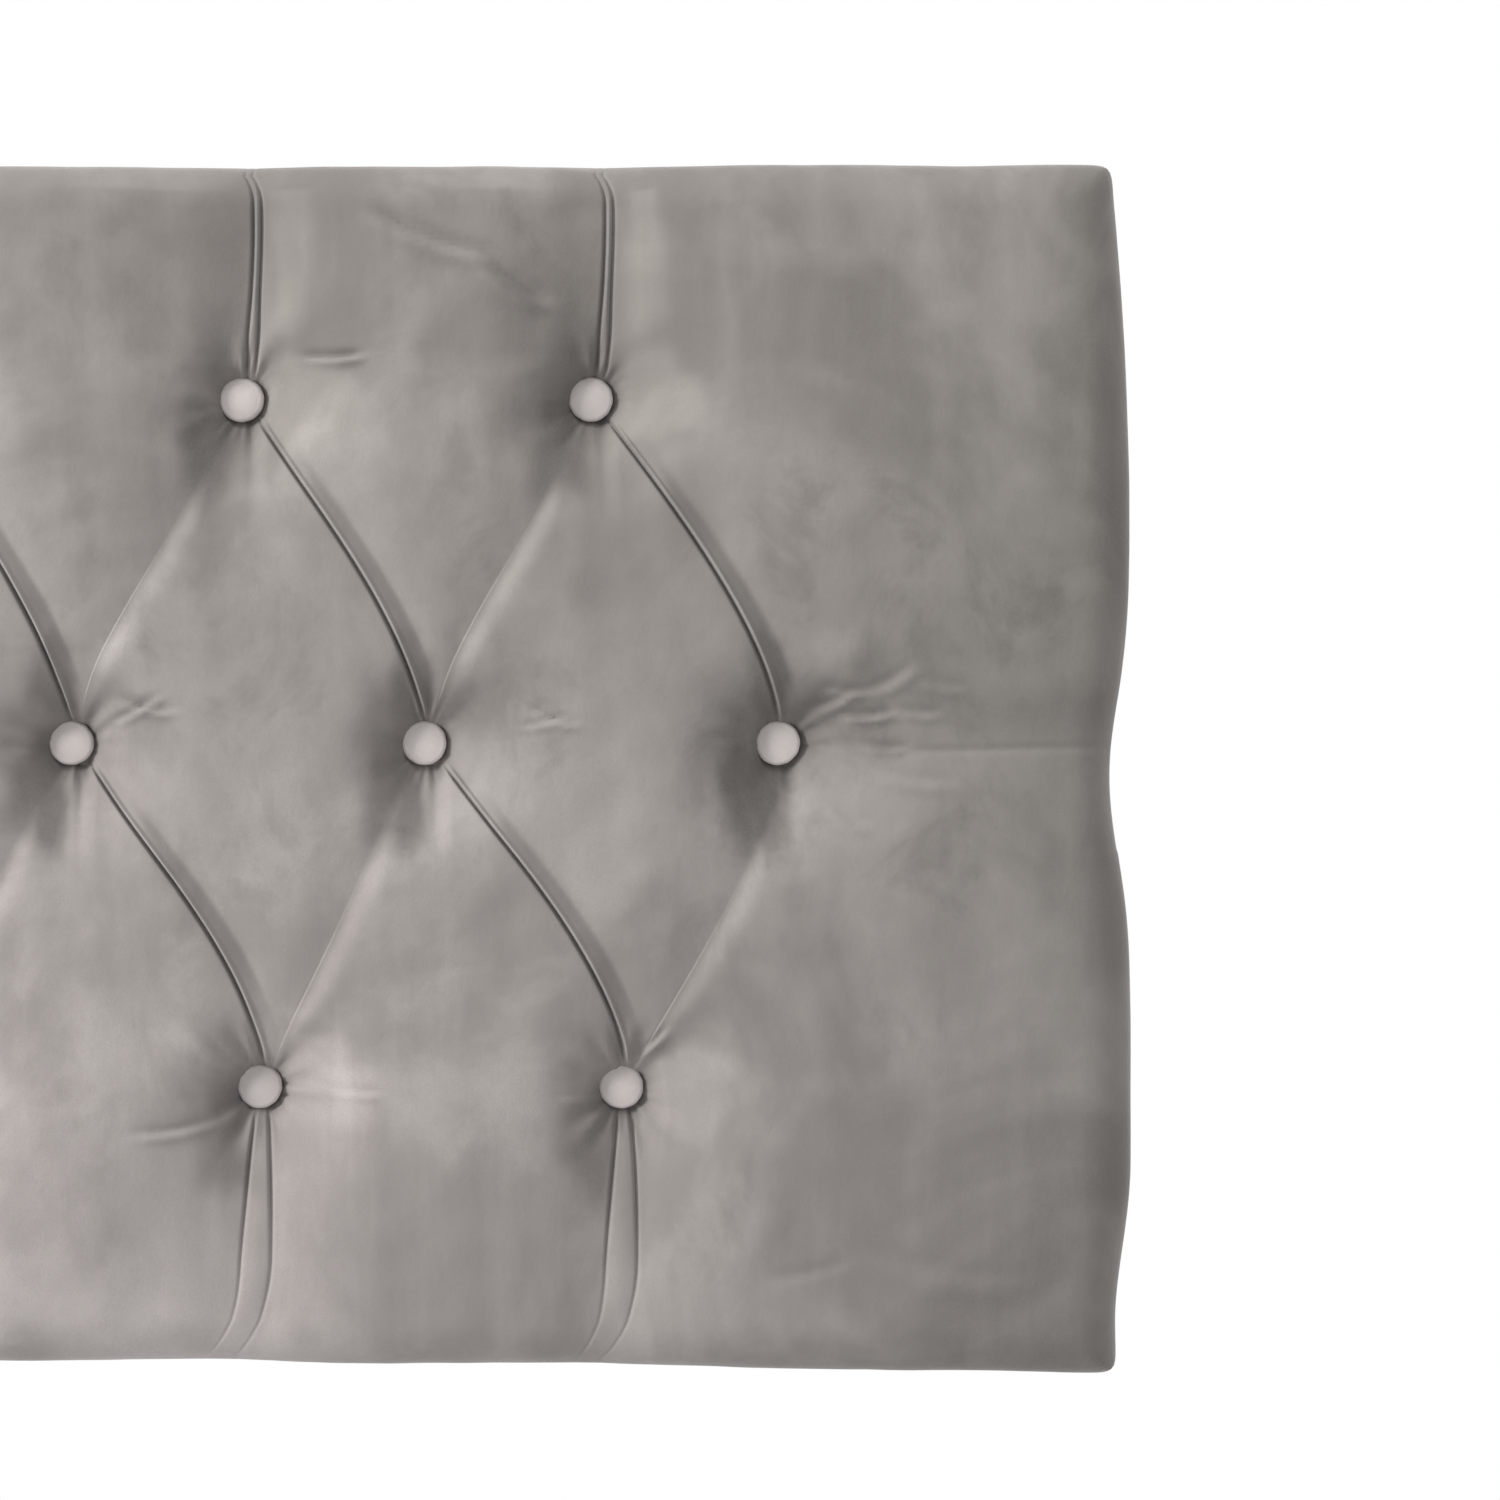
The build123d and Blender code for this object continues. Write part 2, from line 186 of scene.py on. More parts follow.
# A cell counts as this wide at the cover's two ends
MARGIN_CELL = 100.0

# Relief round the buttons and at the two ends
FUNNEL_DEPTH = 31.0
FUNNEL_REACH = 27.0
FLARE_DEPTH = 3.1
FLARE_REACH = 50.0
PIT_DEPTH = 4.6
PIT_REACH = 12.8
TROUGH_DEPTH = 5.2
TROUGH_SHARE_TOP = 0.7
GATHER_BOTTOM = 1.35
GATHER_ABOVE = 0.8
END_VALLEY_DEPTH = 5.0
END_LINE_DEPTH = 0.8
HIGHEST_RISE = 1.0

# Smaller shapes: the buttons' shoulders, the padding's edges and the lining's bolt holes
SHOULDER_ROUND = 2.4
WADDING_ROUND = 14.0
FOAM_ROUND = 3.0
LINING_HOLE_RADIUS = 5.2

# Small wrinkles seen beside the buttons: start x, start z, end x, end z, half width, height
WRINKLES = (
    (322, 312, 386, 287, 3.0, 3.0), (376, 291, 412, 264, 3.3, 2.8), (290, 241, 322, 241, 1.7, 2.2),
    (202, 74, 229, 67, 1.8, 2.0), (196, 62, 222, 76, 1.6, 1.6), (402, 70, 424, 60, 1.7, 1.8),
    (396, 60, 420, 66, 1.5, 0.8), (208, -138, 252, -130, 2.0, 1.0), (294, -113, 330, -117, 1.8, 1.0),
    (540, 68, 560, 78, 2.0, 1.3), (566, 76, 588, 90, 2.6, 1.1), (546, 80, 568, 77, 1.8, 1.5),
    (552, 66, 579, 67, 1.9, 1.8), (581, 69, 602, 66, 1.9, 1.0), (588, 84, 612, 78, 2.4, 0.9),
    (562, 52, 586, 50, 1.5, 1.3), (546, 24, 566, 10, 2.4, 1.2), (550, 44, 612, 32, 2.6, 0.8),
    (452, -100, 470, -84, 1.6, 1.0), (454, -128, 474, -140, 1.7, 1.1), (416, -118, 438, -117, 1.7, 1.1),
    (418, -104, 436, -110, 1.5, 0.9), (600, 300, 640, 250, 4.0, 0.8), (560, -190, 640, -205, 4.5, 1.0),
    (520, -205, 560, -196, 3.2, 0.9),
)
# More wrinkles of the same kind are drawn at random beside the buttons left of this place
RANDOM_WRINKLES = 26
RANDOM_WRINKLES_END = 150.0

# Painted shade and highlight on the cover's velvet, from its slope and from painted marks: 0 to 1 from light
# to dark, and past both for some marks
SLOPE_SHADE_GAIN = 1.8
PAINTED_LIGHTEST = -0.6
PAINTED_DARKEST = 1.5
# A painted mark of shade beside the buttons, or of painted highlight where its strength is below 0: its
# buttons, how far across and down from each it lies, its radius, its stretch upwards, the blur of its rim,
# and how much darker it is. The first set goes no lighter than 0
PAINTED_SHADE_AND_HIGHLIGHT_MARKS = (
    (BUTTONS, 31, 0, 25, 0.9, 0.5, -0.34),
    (MIDDLE_ROW, 31, 0, 25, 0.9, 0.5, 0.5),
    (BUTTONS, -14, 27, 14, 1.9, 0.9, 0.68),
    (MIDDLE_ROW, -4, -33, 11, 1.9, 0.8, 0.45),
    (MIDDLE_ROW, -4, 38, 7, 2.7, 0.8, 0.5),
    (TOP_ROW, -44, -75, 32, 1.7, 1.3, 0.3),
    (TOP_ROW, -10, -30, 12, 1.5, 0.9, 0.25),
)
# Painted highlights beside the buttons, with the same columns; these may go lighter than 0
PAINTED_HIGHLIGHT_MARKS = (
    (TOP_ROW, 31, 0, 25, 0.9, 0.7, -0.42),
    (BOTTOM_ROW, 31, 0, 25, 0.9, 0.7, -0.5),
    (TOP_ROW, 28, -66, 10, 4.6, 0.9, -0.45),
    (MIDDLE_ROW, 29, -42, 12, 1.2, 0.8, -0.35),
)

WHITE = (1.0, 1.0, 1.0, 1.0)

# Stage, in metres
WORLD_LIGHT = 0.45
FLOOR_DROP = 0.55
FLOOR_CORNERS = ((-3.0, -4.0), (4.0, -4.0), (4.0, 1.4), (-3.0, 1.4))
# A lamp: its name, its place, the point that it faces, its side and its power
LAMPS = (
    ("key", (-5.25, -3.63, 2.33), (0.5, 0.0, 0.03), 2.2, 430.0),
    ("fill", (4.6, -2.0, 0.9), (0.5, 0.0, 0.0), 2.0, 42.0),
    ("top", (0.5, -0.75, 2.1), (0.4, 0.0, 0.2), 1.2, 24.0),
)
CAMERA_DISTANCE = 1.75
CAMERA_YAW = math.radians(0.5)
CAMERA_TARGET = Vector((0.5087, CROWN_Y * MM, 0.0494))
CAMERA_SENSOR = 36.0
# The lens is long enough that this width at the crown plane fills the picture
PICTURE_WIDTH = 0.7267


def length_setting(name, description, default):
    """A length that can be changed, in metres."""
    return FloatProperty(
        name=name, description=description, default=default, unit="LENGTH", subtype="DISTANCE"
    )


def colour_setting(name, description, default):
    """A colour that can be changed."""
    return FloatVectorProperty(
        name=name, description=description, default=(*default, 1.0),
        subtype="COLOR", size=4, min=0.0, max=1.0,
    )


class HeadboardSizes(bpy.types.PropertyGroup):
    """Sizes and colours that can be changed before the pieces are built."""

    crease_bow: length_setting("Crease bow", "How far a falling crease bows out to the right", 0.019)
    pillow_noise: length_setting(
        "Stuffing unevenness", "Height of the soft unevenness in the stuffing", 0.0011
    )
    pucker_height: length_setting(
        "Pucker height", "Height of the gathers that run out from each button", 0.0012
    )
    wrinkle_strength: FloatProperty(
        name="Wrinkles", description="How strongly the small wrinkles show, 1 as in the photograph",
        default=1.0, min=0.0, max=2.0, subtype="FACTOR",
    )
    button_dome: length_setting("Button dome", "Rise of a covered button above its rim", 0.0016)
    velvet_colour: colour_setting("Velvet", "Colour of the velvet seen straight on", (0.268, 0.245, 0.238))
    velvet_light: colour_setting(
        "Brushed velvet", "Colour where the pile lies towards the light", (0.330, 0.304, 0.297)
    )
    # Painted light: the buttons' velvet is a lighter copy of the cover's, for the light caught by their flat
    # faces
    button_colour: colour_setting(
        "Button velvet", "Colour of the velvet stretched over the buttons", (0.60, 0.555, 0.54)
    )
    lining_colour: colour_setting("Lining", "Colour of the back lining cloth", (0.018, 0.018, 0.02))
    wadding_colour: colour_setting("Wadding", "Colour of the wadding over the foam", (0.62, 0.62, 0.6))
    foam_colour: colour_setting("Foam", "Colour of the foam slab", (0.72, 0.66, 0.48))
    timber_colour: colour_setting("Timber", "Colour of the planed frame timber", (0.55, 0.36, 0.19))
    board_colour: colour_setting(
        "Board", "Colour of the pressed board behind the foam", (0.40, 0.27, 0.15)
    )
    steel_colour: colour_setting(
        "Steel", "Colour of the zinc-plated nuts, fasteners and staples", (0.62, 0.63, 0.64)
    )
    twine_colour: colour_setting("Twine", "Colour of the button twine", (0.66, 0.6, 0.47))
    seed: IntProperty(name="Seed", description="Seed for every random draw", default=7, min=0)


# Shape of the cover


def mix(start, end, share):
    """The value a share of the way from start to end."""
    return start + (end - start) * share


def bell(value, centre, reach):
    """A bell curve: 1 at the centre, and falling with the square of the distance over the reach."""
    return np.exp(-((value - centre) / reach) ** 2)


def smooth(share):
    """A smooth step from 0 to 1: three squares less two cubes."""
    share = np.clip(share, 0.0, 1.0)
    return share * share * (3 - 2 * share)


def bow(share):
    """Rises slowly from 0, peaks at 1 past the middle and falls back to 0: a product of powers."""
    share = np.clip(share, 0.0, 1.0)
    return share ** 1.25 * (1.0 - share) ** 0.72 / 0.277


def crowded(reach, count):
    """Distances from a crease line out to reach, for every row: even short steps over the crease's own
    width, then steps that grow by a power."""
    near = np.minimum(FINE_REACH, 0.45 * reach)
    short = near * np.linspace(0, 1, FINE_COLUMNS + 1)[None, :]
    long = near + (reach - near) * np.linspace(0, 1, count + 1)[None, 1:] ** COLUMN_SPREAD
    return np.concatenate([short, long], axis=1)


def row_heights(low, high):
    """Heights of the grid's rows: the step is short near each row of buttons and longer between."""
    fine = np.linspace(low, high, 4000)
    near = np.min(np.abs(fine[:, None] - np.array([BOTTOM_Z, MIDDLE_Z, TOP_Z])), axis=1)
    blend = 1.0 / (1.0 + np.exp(-(near - ROW_NEAR_REACH) / 6.0))
    density = 1.0 / mix(ROW_STEP_NEAR, ROW_STEP_FAR, blend)
    total = np.concatenate([[0.0], np.cumsum((density[1:] + density[:-1]) / 2 * np.diff(fine))])
    count = int(round(total[-1]))
    return np.interp(np.linspace(0.0, total[-1], count + 1), total, fine)


def top_pleat(past, sway):
    """Where a top pleat's two lines run beside its button, past the row by this much: they lean right at
    once, drift on upwards and turn back at the edge, and their gap swells a little above the button."""
    lean = PLEAT_LEAN * (1 - np.exp(-past / 8)) + (PLEAT_DRIFT + sway) * smooth(past / 90)
    lean = lean - PLEAT_RETURN * np.clip((past - 95) / 20, 0, 1) ** 2
    gap = PLEAT_GAP + PLEAT_SWELL * bell(past, 28, 16)
    gap = np.where(past < 12, mix(2 * SEAM_HALF, gap, past / 12), gap)
    return lean - gap / 2, lean + gap / 2


def bottom_leaf(past, sway):
    """Where a bottom pleat's two lines run beside its button, past the row by this much: a leaf that
    opens to both sides and bends left at the edge."""
    bend_left = (LEAF_BEND_LEFT + 3 * sway) * np.clip((past - 88) / 40, 0, 1.3) ** 2
    bend_right = LEAF_BEND_RIGHT * np.clip((past - 80) / 45, 0, 1.3) ** 2
    left = -SEAM_HALF - LEAF_LEFT * smooth(past / 100) - bend_left
    right = SEAM_HALF + (LEAF_RIGHT - sway) * (1 - np.exp(-past / 24)) - bend_right
    return left, right


def crease_lines(z, bow_mm):
    """For each row height: where the twelve crease lines run, and how strong each kind of crease is there.

    Between two rows of buttons a line joins the buttons, and the one that falls to the right also
    bows out. Beyond the outer rows two lines run side by side as a pleat: a narrow upright one at
    the top, and a leaf that swells and bends left at the bottom.
    """
    upper = z > MIDDLE_Z
    above = z > TOP_Z
    outer_z = np.where(upper, TOP_Z, BOTTOM_Z)
    span = np.abs(outer_z - MIDDLE_Z)
    past = np.maximum(np.maximum(z - TOP_Z, BOTTOM_Z - z), 0.0)
    share = np.where(past > 0, 0.0, np.clip(np.abs(outer_z - z) / span, 0.0, 1.0))
    seam = SEAM_HALF * (1 - 2 * share)
    inside = past <= 0
    in_upper, in_lower = np.where(inside & upper, 1.0, 0.0), np.where(inside & ~upper, 1.0, 0.0)
    lines, soft, sharp = [], [], []
    for number in range(len(TOP_X)):
        left, right = MIDDLE_X[number], MIDDLE_X[number + 1]
        sway = math.sin(1.7 * number + 0.6)
        soft_bow = SOFT_BOW_BELOW * np.sin(np.pi * share)
        if number == len(TOP_X) - 1:
            soft_bow = LAST_SOFT_BOW * share ** 1.5 * (1 - share) ** 0.8 / 0.226
        soft_up = mix(TOP_X[number], left, share) - seam + SOFT_SWAY_ABOVE * np.sin(2 * np.pi * share)
        sharp_up = mix(TOP_X[number], right, share) + seam + BOW_SHARE_ABOVE * bow_mm * bow(share)
        sharp_down = mix(BOTTOM_X[number], left, share) - seam + BOW_SHARE_BELOW * bow_mm * bow(1 - share)
        soft_down = mix(BOTTOM_X[number], right, share) + seam + soft_bow
        top_left, top_right = top_pleat(past, sway)
        leaf_left, leaf_right = bottom_leaf(past, sway)
        pleat_left = np.where(above, TOP_X[number] + top_left, BOTTOM_X[number] + leaf_left)
        pleat_right = np.where(above, TOP_X[number] + top_right, BOTTOM_X[number] + leaf_right)
        lines += [
            np.where(past > 0, pleat_left, np.where(upper, soft_up, sharp_down)),
            np.where(past > 0, pleat_right, np.where(upper, sharp_up, soft_down)),
        ]
        soft += [in_upper, in_lower]
        sharp += [in_lower, in_upper]
    reach = np.minimum(share, 1 - share) * span
    below = np.where(upper, share, 1 - share) * span
    return {
        "lines": np.array(lines).T, "soft": np.array(soft).T, "sharp": np.array(sharp).T,
        "past": past, "share": share, "above": above, "late": smooth((below + 4) / 62.0),
        "wide": smooth(reach / 30.0), "narrow": smooth((reach - 6) / 12.0),
    }


def smooth_noise(x, z, seed, wavelengths, strengths):
    """A sum of plane waves with random directions and phases, about -1 to 1."""
    draw = np.random.default_rng(seed)
    total = np.zeros_like(x)
    for wavelength, strength in zip(wavelengths, strengths):
        for _ in range(7):
            angle, phase = draw.uniform(0, 2 * np.pi, 2)
            wave = 2 * np.pi / (wavelength * draw.uniform(0.7, 1.35))
            total += strength / 2.6 * np.sin(wave * (x * math.cos(angle) + z * math.sin(angle)) + phase)
    return total


def wrinkle(x, z, start_x, start_z, end_x, end_z, width, height):
    """A low ridge with a furrow beside it: a line's distance times its bell curve, along a bent line
    that fades at both ends."""
    length = math.hypot(end_x - start_x, end_z - start_z)
    ux, uz = (end_x - start_x) / length, (end_z - start_z) / length
    along = ((x - start_x) * ux + (z - start_z) * uz) / length
    bend = 0.05 * length / width * np.sin(np.pi * along)
    across = ((z - start_z) * ux - (x - start_x) * uz) / width + bend
    fade = np.exp(-np.abs((along - 0.5) / 0.42) ** 5)
    return height * across * np.exp(0.5 - across ** 2 / 2) * fade


def line_relief(rows, column, away, right_side, cell):
    """Depth beside one crease line, this far away from it: the broad part and the fine part.

    Soft crease: a bell-shaped valley, steep on its right and longer on its left. Sharp crease: a
    narrow bell-shaped groove, a raised lip on its right and a fold that falls away behind the lip.
    Pleat: a wide valley on both sides of two narrow grooves.
    """
    soft = (rows["soft"][:, column] * rows["wide"] * rows["late"])[:, None] * SOFT_DEPTH
    sharp_wide = (rows["sharp"][:, column] * rows["wide"])[:, None]
    sharp_narrow = (rows["sharp"][:, column] * rows["narrow"])[:, None]
    past, above = rows["past"][:, None], rows["above"][:, None]
    pleat = PLEAT_DEPTH * smooth(past / 22) * (1 - 0.55 * smooth((past - 22) / 95))
    lasting = np.where(above, 1 - 0.5 * smooth((past - 70) / 50), 1 - 0.85 * smooth((past - 25) / 95))
    pleat_groove = PLEAT_GROOVE_SHARE * smooth((past - 8) / 8) * lasting
    fine = (sharp_narrow + pleat_groove) * GROOVE_DEPTH * bell(away, 0, GROOVE_HALF)
    if right_side:
        fold = FOLD_DEPTH * smooth((away - SEAM_HALF) / FOLD_REACH) * np.clip(cell / 50.0, 0, 1)
        fold = fold * np.exp(-np.maximum(away - FOLD_REACH, 0) / FOLD_FADE)
        broad = soft * np.exp(-(away / SOFT_REACH_RIGHT) ** 2.2)
        broad = broad + sharp_wide * (SHARP_DEPTH * np.exp(-away / SHARP_REACH_RIGHT) + fold)
        broad = broad + pleat * np.exp(-(away / PLEAT_REACH_RIGHT) ** 1.35)
        fine = fine - sharp_narrow * LIP_HEIGHT * bell(away, LIP_PLACE, LIP_HALF)
    else:
        pleat_reach = np.where(above, PLEAT_REACH_LEFT_ABOVE, PLEAT_REACH_LEFT_BELOW)
        broad = soft * np.exp(-(away / SOFT_REACH_LEFT) ** 1.4)
        broad = broad + sharp_wide * SHARP_DEPTH * np.exp(-away / SHARP_REACH_LEFT)
        broad = broad + pleat * np.exp(-(away / pleat_reach) ** 1.3)
    return np.stack([broad, fine])


def button_hollow(dx, dz, bx, bz):
    """Depth round one button: a funnel whose reach is longer to the lower right, with a flare on its
    right, and apart from it a steep pit under the button with a trough below. The trough has a long
    left wall and a steep right one."""
    away, turn = np.hypot(dx, dz), np.arctan2(dz, dx)
    reach = FUNNEL_REACH * (1 + 0.22 * np.cos(turn + 0.7) + 0.05 * np.sin(3 * turn + bx))
    flare = FLARE_DEPTH * np.exp(-(away / FLARE_REACH) ** 4) * smooth((np.cos(turn + 0.25) - 0.30) / 0.35)
    funnel = FUNNEL_DEPTH * np.exp(-(away / reach) ** 1.5) + flare
    pit = PIT_DEPTH * np.exp(-(away / PIT_REACH) ** 6)
    if bz > BOTTOM_Z:
        wall = smooth((dx + 30) / 32) * (1 - smooth((dx - 3 + 0.08 * dz) / 10))
        fade = smooth((-dz - 2) / 14) * (1 - smooth((-dz - 24) / 46))
        pit = pit + TROUGH_DEPTH * (1.0 if bz < TOP_Z else TROUGH_SHARE_TOP) * wall * fade
    return funnel, pit


def gathers(dx, dz, draw):
    """Small folds that run out from a button: a coarse and a fine wave round it, each kept to a ring by
    a bell curve."""
    away, turn = np.hypot(dx, dz), np.arctan2(dz, dx)
    folds = draw.integers(9, 14)
    phase, skew = draw.uniform(0, 2 * np.pi, 2)
    coarse = np.cos(folds * turn + 2.2 * np.sin(2 * turn + skew) + phase)
    coarse = coarse * (0.55 + 0.45 * np.sin(3 * turn + skew))
    fine = np.cos(2.3 * folds * turn + 3 * np.sin(turn + phase)) * (0.5 + 0.5 * np.sin(2 * turn + phase))
    return coarse * bell(away, 18, 13) + 0.4 * fine * bell(away, 15, 6)


def end_valleys(x, z):
    """Depth of the valley that runs from the middle row's last button out to each end: it widens and
    grows shallower on its way, wanders a little, and has a thin line along its floor."""
    end = np.clip(np.abs(x) - MIDDLE_X[-1], 0.0, None)
    level = z - MIDDLE_Z + 0.03 * end + 2.0 * np.sin(end / 34)
    valley = (END_VALLEY_DEPTH - 2.2 * smooth(end / 120)) * np.exp(-np.abs(level / (8 + 0.12 * end)) ** 1.4)
    line = END_LINE_DEPTH * bell(level, 0, 1.9) * smooth((end - 40) / 40)
    return smooth(end / 26) * (1 - smooth((end - 138) / 22)) * (valley + line)


def small_wrinkles(x, z, draw):
    """The height of the wrinkles that are listed and of those drawn at random."""
    height = np.zeros_like(x)
    for line in WRINKLES:
        height += wrinkle(x, z, *line)
    for _ in range(RANDOM_WRINKLES):
        bx, bz = BUTTONS[draw.integers(len(BUTTONS))]
        angle, start, length = draw.uniform(-0.9, 0.9), draw.uniform(20, 32), draw.uniform(14, 34)
        angle += np.pi * draw.integers(2)
        if bx < RANDOM_WRINKLES_END:
            start_x, start_z = bx + start * math.cos(angle), bz + start * math.sin(angle)
            end_x = bx + (start + length) * math.cos(angle + 0.2)
            end_z = bz + (start + length) * math.sin(angle + 0.2)
            height += wrinkle(x, z, start_x, start_z, end_x, end_z, 2.0, 1.0)
    return height


def cover_relief(x, z, broad, fine, settings):
    """How far the velvet lies behind the crown plane, in millimetres: the creases' relief joined with the
    buttons' funnels as a sum of cubes, and their pits, gathers, end valleys, wrinkles and stuffing."""
    funnel = np.zeros_like(broad)
    pucker = np.zeros_like(broad)
    draw = np.random.default_rng(settings.seed)
    for bx, bz in BUTTONS:
        near = (np.abs(x - bx) < 110) & (np.abs(z - bz) < 110)
        dx, dz = (x - bx)[near], (z - bz)[near]
        around, pit = button_hollow(dx, dz, bx, bz)
        funnel[near] = np.maximum(funnel[near], around)
        fine[near] += pit
        pucker[near] += (GATHER_BOTTOM if bz == BOTTOM_Z else GATHER_ABOVE) * gathers(dx, dz, draw)
    depth = (np.maximum(broad, 0) ** 3 + funnel ** 3) ** (1 / 3) + fine
    depth += settings.pucker_height / MM * pucker + end_valleys(x, z)
    depth += settings.wrinkle_strength * small_wrinkles(x, z, draw)
    uneven = smooth_noise(x, z, settings.seed, (150.0, 62.0, 24.0), (1.0, 0.5, 0.16))
    return np.maximum(depth + settings.pillow_noise / MM * np.exp(-depth / 12.0) * uneven, -HIGHEST_RISE)


def ring_profile(radius, tuck, depth, pocket):
    """The path of a wrap past the flat front: for each ring, how far out and how far back it is, and how
    far its normal has turned. A quarter circle, a wall that tucks in, a small back round, the hem,
    and the inner wall that runs forward to the pocket's floor."""
    turn = np.linspace(0, np.pi / 2, ROUND_RINGS + 1)[1:]
    wall = np.linspace(0, 1, WALL_RINGS + 1)[1:]
    curl = np.linspace(0, np.pi / 2, BACK_ROUND_RINGS + 1)[1:]
    lap = np.linspace(0, 1, HEM_RINGS + 1)[1:]
    edge, inner = radius - tuck, depth - HEM_THICKNESS
    out = np.concatenate([
        radius * np.sin(turn), radius - tuck * wall ** 1.5, edge - BACK_ROUND * (1 - np.cos(curl)),
        edge - mix(BACK_ROUND, HEM_SHOWN, lap), [edge - HEM_SHOWN], 2 * [edge - HEM_THICKNESS],
    ])
    back = np.concatenate([
        radius * (1 - np.cos(turn)), mix(radius, depth - BACK_ROUND, wall),
        depth - BACK_ROUND * (1 - np.sin(curl)), depth + 0 * lap, [inner, inner, pocket],
    ])
    angle = np.concatenate([turn, np.pi / 2 + 0 * wall, np.pi / 2 + curl, np.pi + 0 * lap, 3 * [np.pi]])
    return out, back, angle


def side_swell(z):
    """How far the padded side stands out: full over most of its height, falling away to the corners,
    with a waist at the middle row."""
    top = SWELL_TOP * (1 - (np.maximum(z - 146, 0) / 186) ** 2)
    low = SWELL_LOW - SWELL_LOST_LOW * smooth((-150 - z) / 75)
    return np.where(z > 0, top, low) - WAIST_DEPTH * bell(z, MIDDLE_Z - WAIST_DROP, 54)


def add_mesh(name, points, faces, rounded=True):
    """A mesh object at the origin from an array of points in metres and a list of faces."""
    mesh = bpy.data.meshes.new(name)
    mesh.from_pydata(points.tolist(), [], faces)
    mesh.update()
    if rounded:
        mesh.shade_smooth()
    piece = bpy.data.objects.new(name, mesh)
    bpy.context.scene.collection.objects.link(piece)
    return piece


def grid_quads(index):
    """Quads between neighbours in a grid of point numbers, as an array with the grid's rows and columns."""
    return np.stack([index[:-1, :-1], index[:-1, 1:], index[1:, 1:], index[1:, :-1]], axis=-1)


def wrapped(x, front_z, side, edge):
    """Carries a front sheet round its four sides. x holds the front's columns for every row, the ring
    rows too. A corner is a quarter turn of the wrap's profile with a squared radius.

    Returns the sideways, backwards and upright places of all points, the turn of the surface there,
    and the sideways and upright parts of its outward direction.
    """
    out_x, back_x, angle_x = side
    out_z, back_z, angle_z = edge
    rings, columns, height = len(out_x), x.shape[1], len(front_z)
    falling, rising = np.arange(rings, 0, -1), np.arange(1, rings + 1)
    ring_row = np.concatenate([falling, np.zeros(height, int), rising])[:, None]
    side_row = np.repeat([-1, 0, 1], [rings, height, rings])[:, None]
    ring_column = np.concatenate([falling, np.zeros(columns, int), rising])[None, :]
    side_column = np.repeat([-1, 0, 1], [rings, columns, rings])[None, :]
    across, up = ring_column + 0 * ring_row, ring_row + 0 * ring_column
    ring = np.maximum(across, up)
    near_side, near_edge = np.pi / 4 * up / np.maximum(across, 1), np.pi / 4 * across / np.maximum(up, 1)
    tilt = np.where(across >= up, near_side, np.pi / 2 - near_edge)
    cos_t, sin_t = np.cos(tilt), np.sin(tilt)
    norm = (cos_t ** CORNER_POWER + sin_t ** CORNER_POWER) ** (1 / CORNER_POWER)
    cos_t, sin_t = np.where(across == 0, 0.0, cos_t / norm), np.where(up == 0, 0.0, sin_t / norm)
    weight = sin_t ** 2 / np.maximum(sin_t ** 2 + cos_t ** 2, 1e-9)

    def at_ring(table):
        return np.where(ring == 0, 0.0, table[np.maximum(ring - 1, 0)])

    wide = np.pad(x, ((0, 0), (rings, rings)), mode="edge")
    base = np.concatenate([np.full(rings, front_z[0]), front_z, np.full(rings, front_z[-1])])[:, None]
    return {
        "x": wide + side_column * at_ring(out_x) * cos_t,
        "z": base + side_row * at_ring(out_z) * sin_t,
        "back": mix(at_ring(back_x), at_ring(back_z), weight),
        "turn": mix(at_ring(angle_x), at_ring(angle_z), weight),
        "out_x": side_column * cos_t, "out_z": side_row * sin_t, "rings": rings,
    }


def closed_sheet(name, x, y, z):
    """A mesh from a grid of points in millimetres, closed by one flat face on the grid's rim."""
    points = np.stack([x, y, z], axis=-1).reshape(-1, 3) * MM
    index = np.arange(x.size).reshape(x.shape)
    rim = np.concatenate([index[0, :], index[1:, -1], index[-1, -2::-1], index[-2:0:-1, 0]])
    quads = grid_quads(index).reshape(-1, 4).tolist()
    return add_mesh(name, points, quads + [rim[::-1].tolist()])


def margin_relief(rows, column, line, width, right_side):
    """Columns and relief from the first or last crease line out to the cover's side, nearest first."""
    away = crowded(width, MARGIN_COLUMNS)
    relief = line_relief(rows, column, away, right_side, MARGIN_CELL)
    relief[0] += PUFF_DEPTH * np.clip(1 - away / PUFF_REACH, 0, 1) ** 2
    return (line + away if right_side else line - away), relief


def cell_relief(rows, column, left, right):
    """Columns and relief between two crease lines: both lines' relief, the pillow's arched puff, and
    in a pleat a floor with a low ridge instead."""
    share, past = rows["share"][:, None], rows["past"][:, None]
    width = right - left
    half = crowded(width / 2, CELL_COLUMNS)
    x = np.concatenate([left + half, right - half[:, -2::-1]], axis=1)
    across = (x - left) / np.maximum(width, 1e-6)
    relief = line_relief(rows, column, x - left, True, width)
    relief = relief + line_relief(rows, column + 1, right - x, False, width)
    middle = 1 - (2 * across - 1) ** 2
    pleated = column % 2 == 0
    crown = SOFT_DEPTH * ((1 - share) if pleated else share) ** 2.4 * np.where(past > 0, 0, 1)
    relief[0] += PUFF_DEPTH * (1 - middle) + 0.4 * crown * middle
    if pleated:
        ridge = RIDGE_HEIGHT * middle * (1 - smooth((past - 80) / 40))
        floor = line_relief(rows, column, 0 * x, True, width)[0] + PUFF_DEPTH - ridge
        relief[0] = mix(relief[0], floor, smooth(past / 14))
    return x, relief


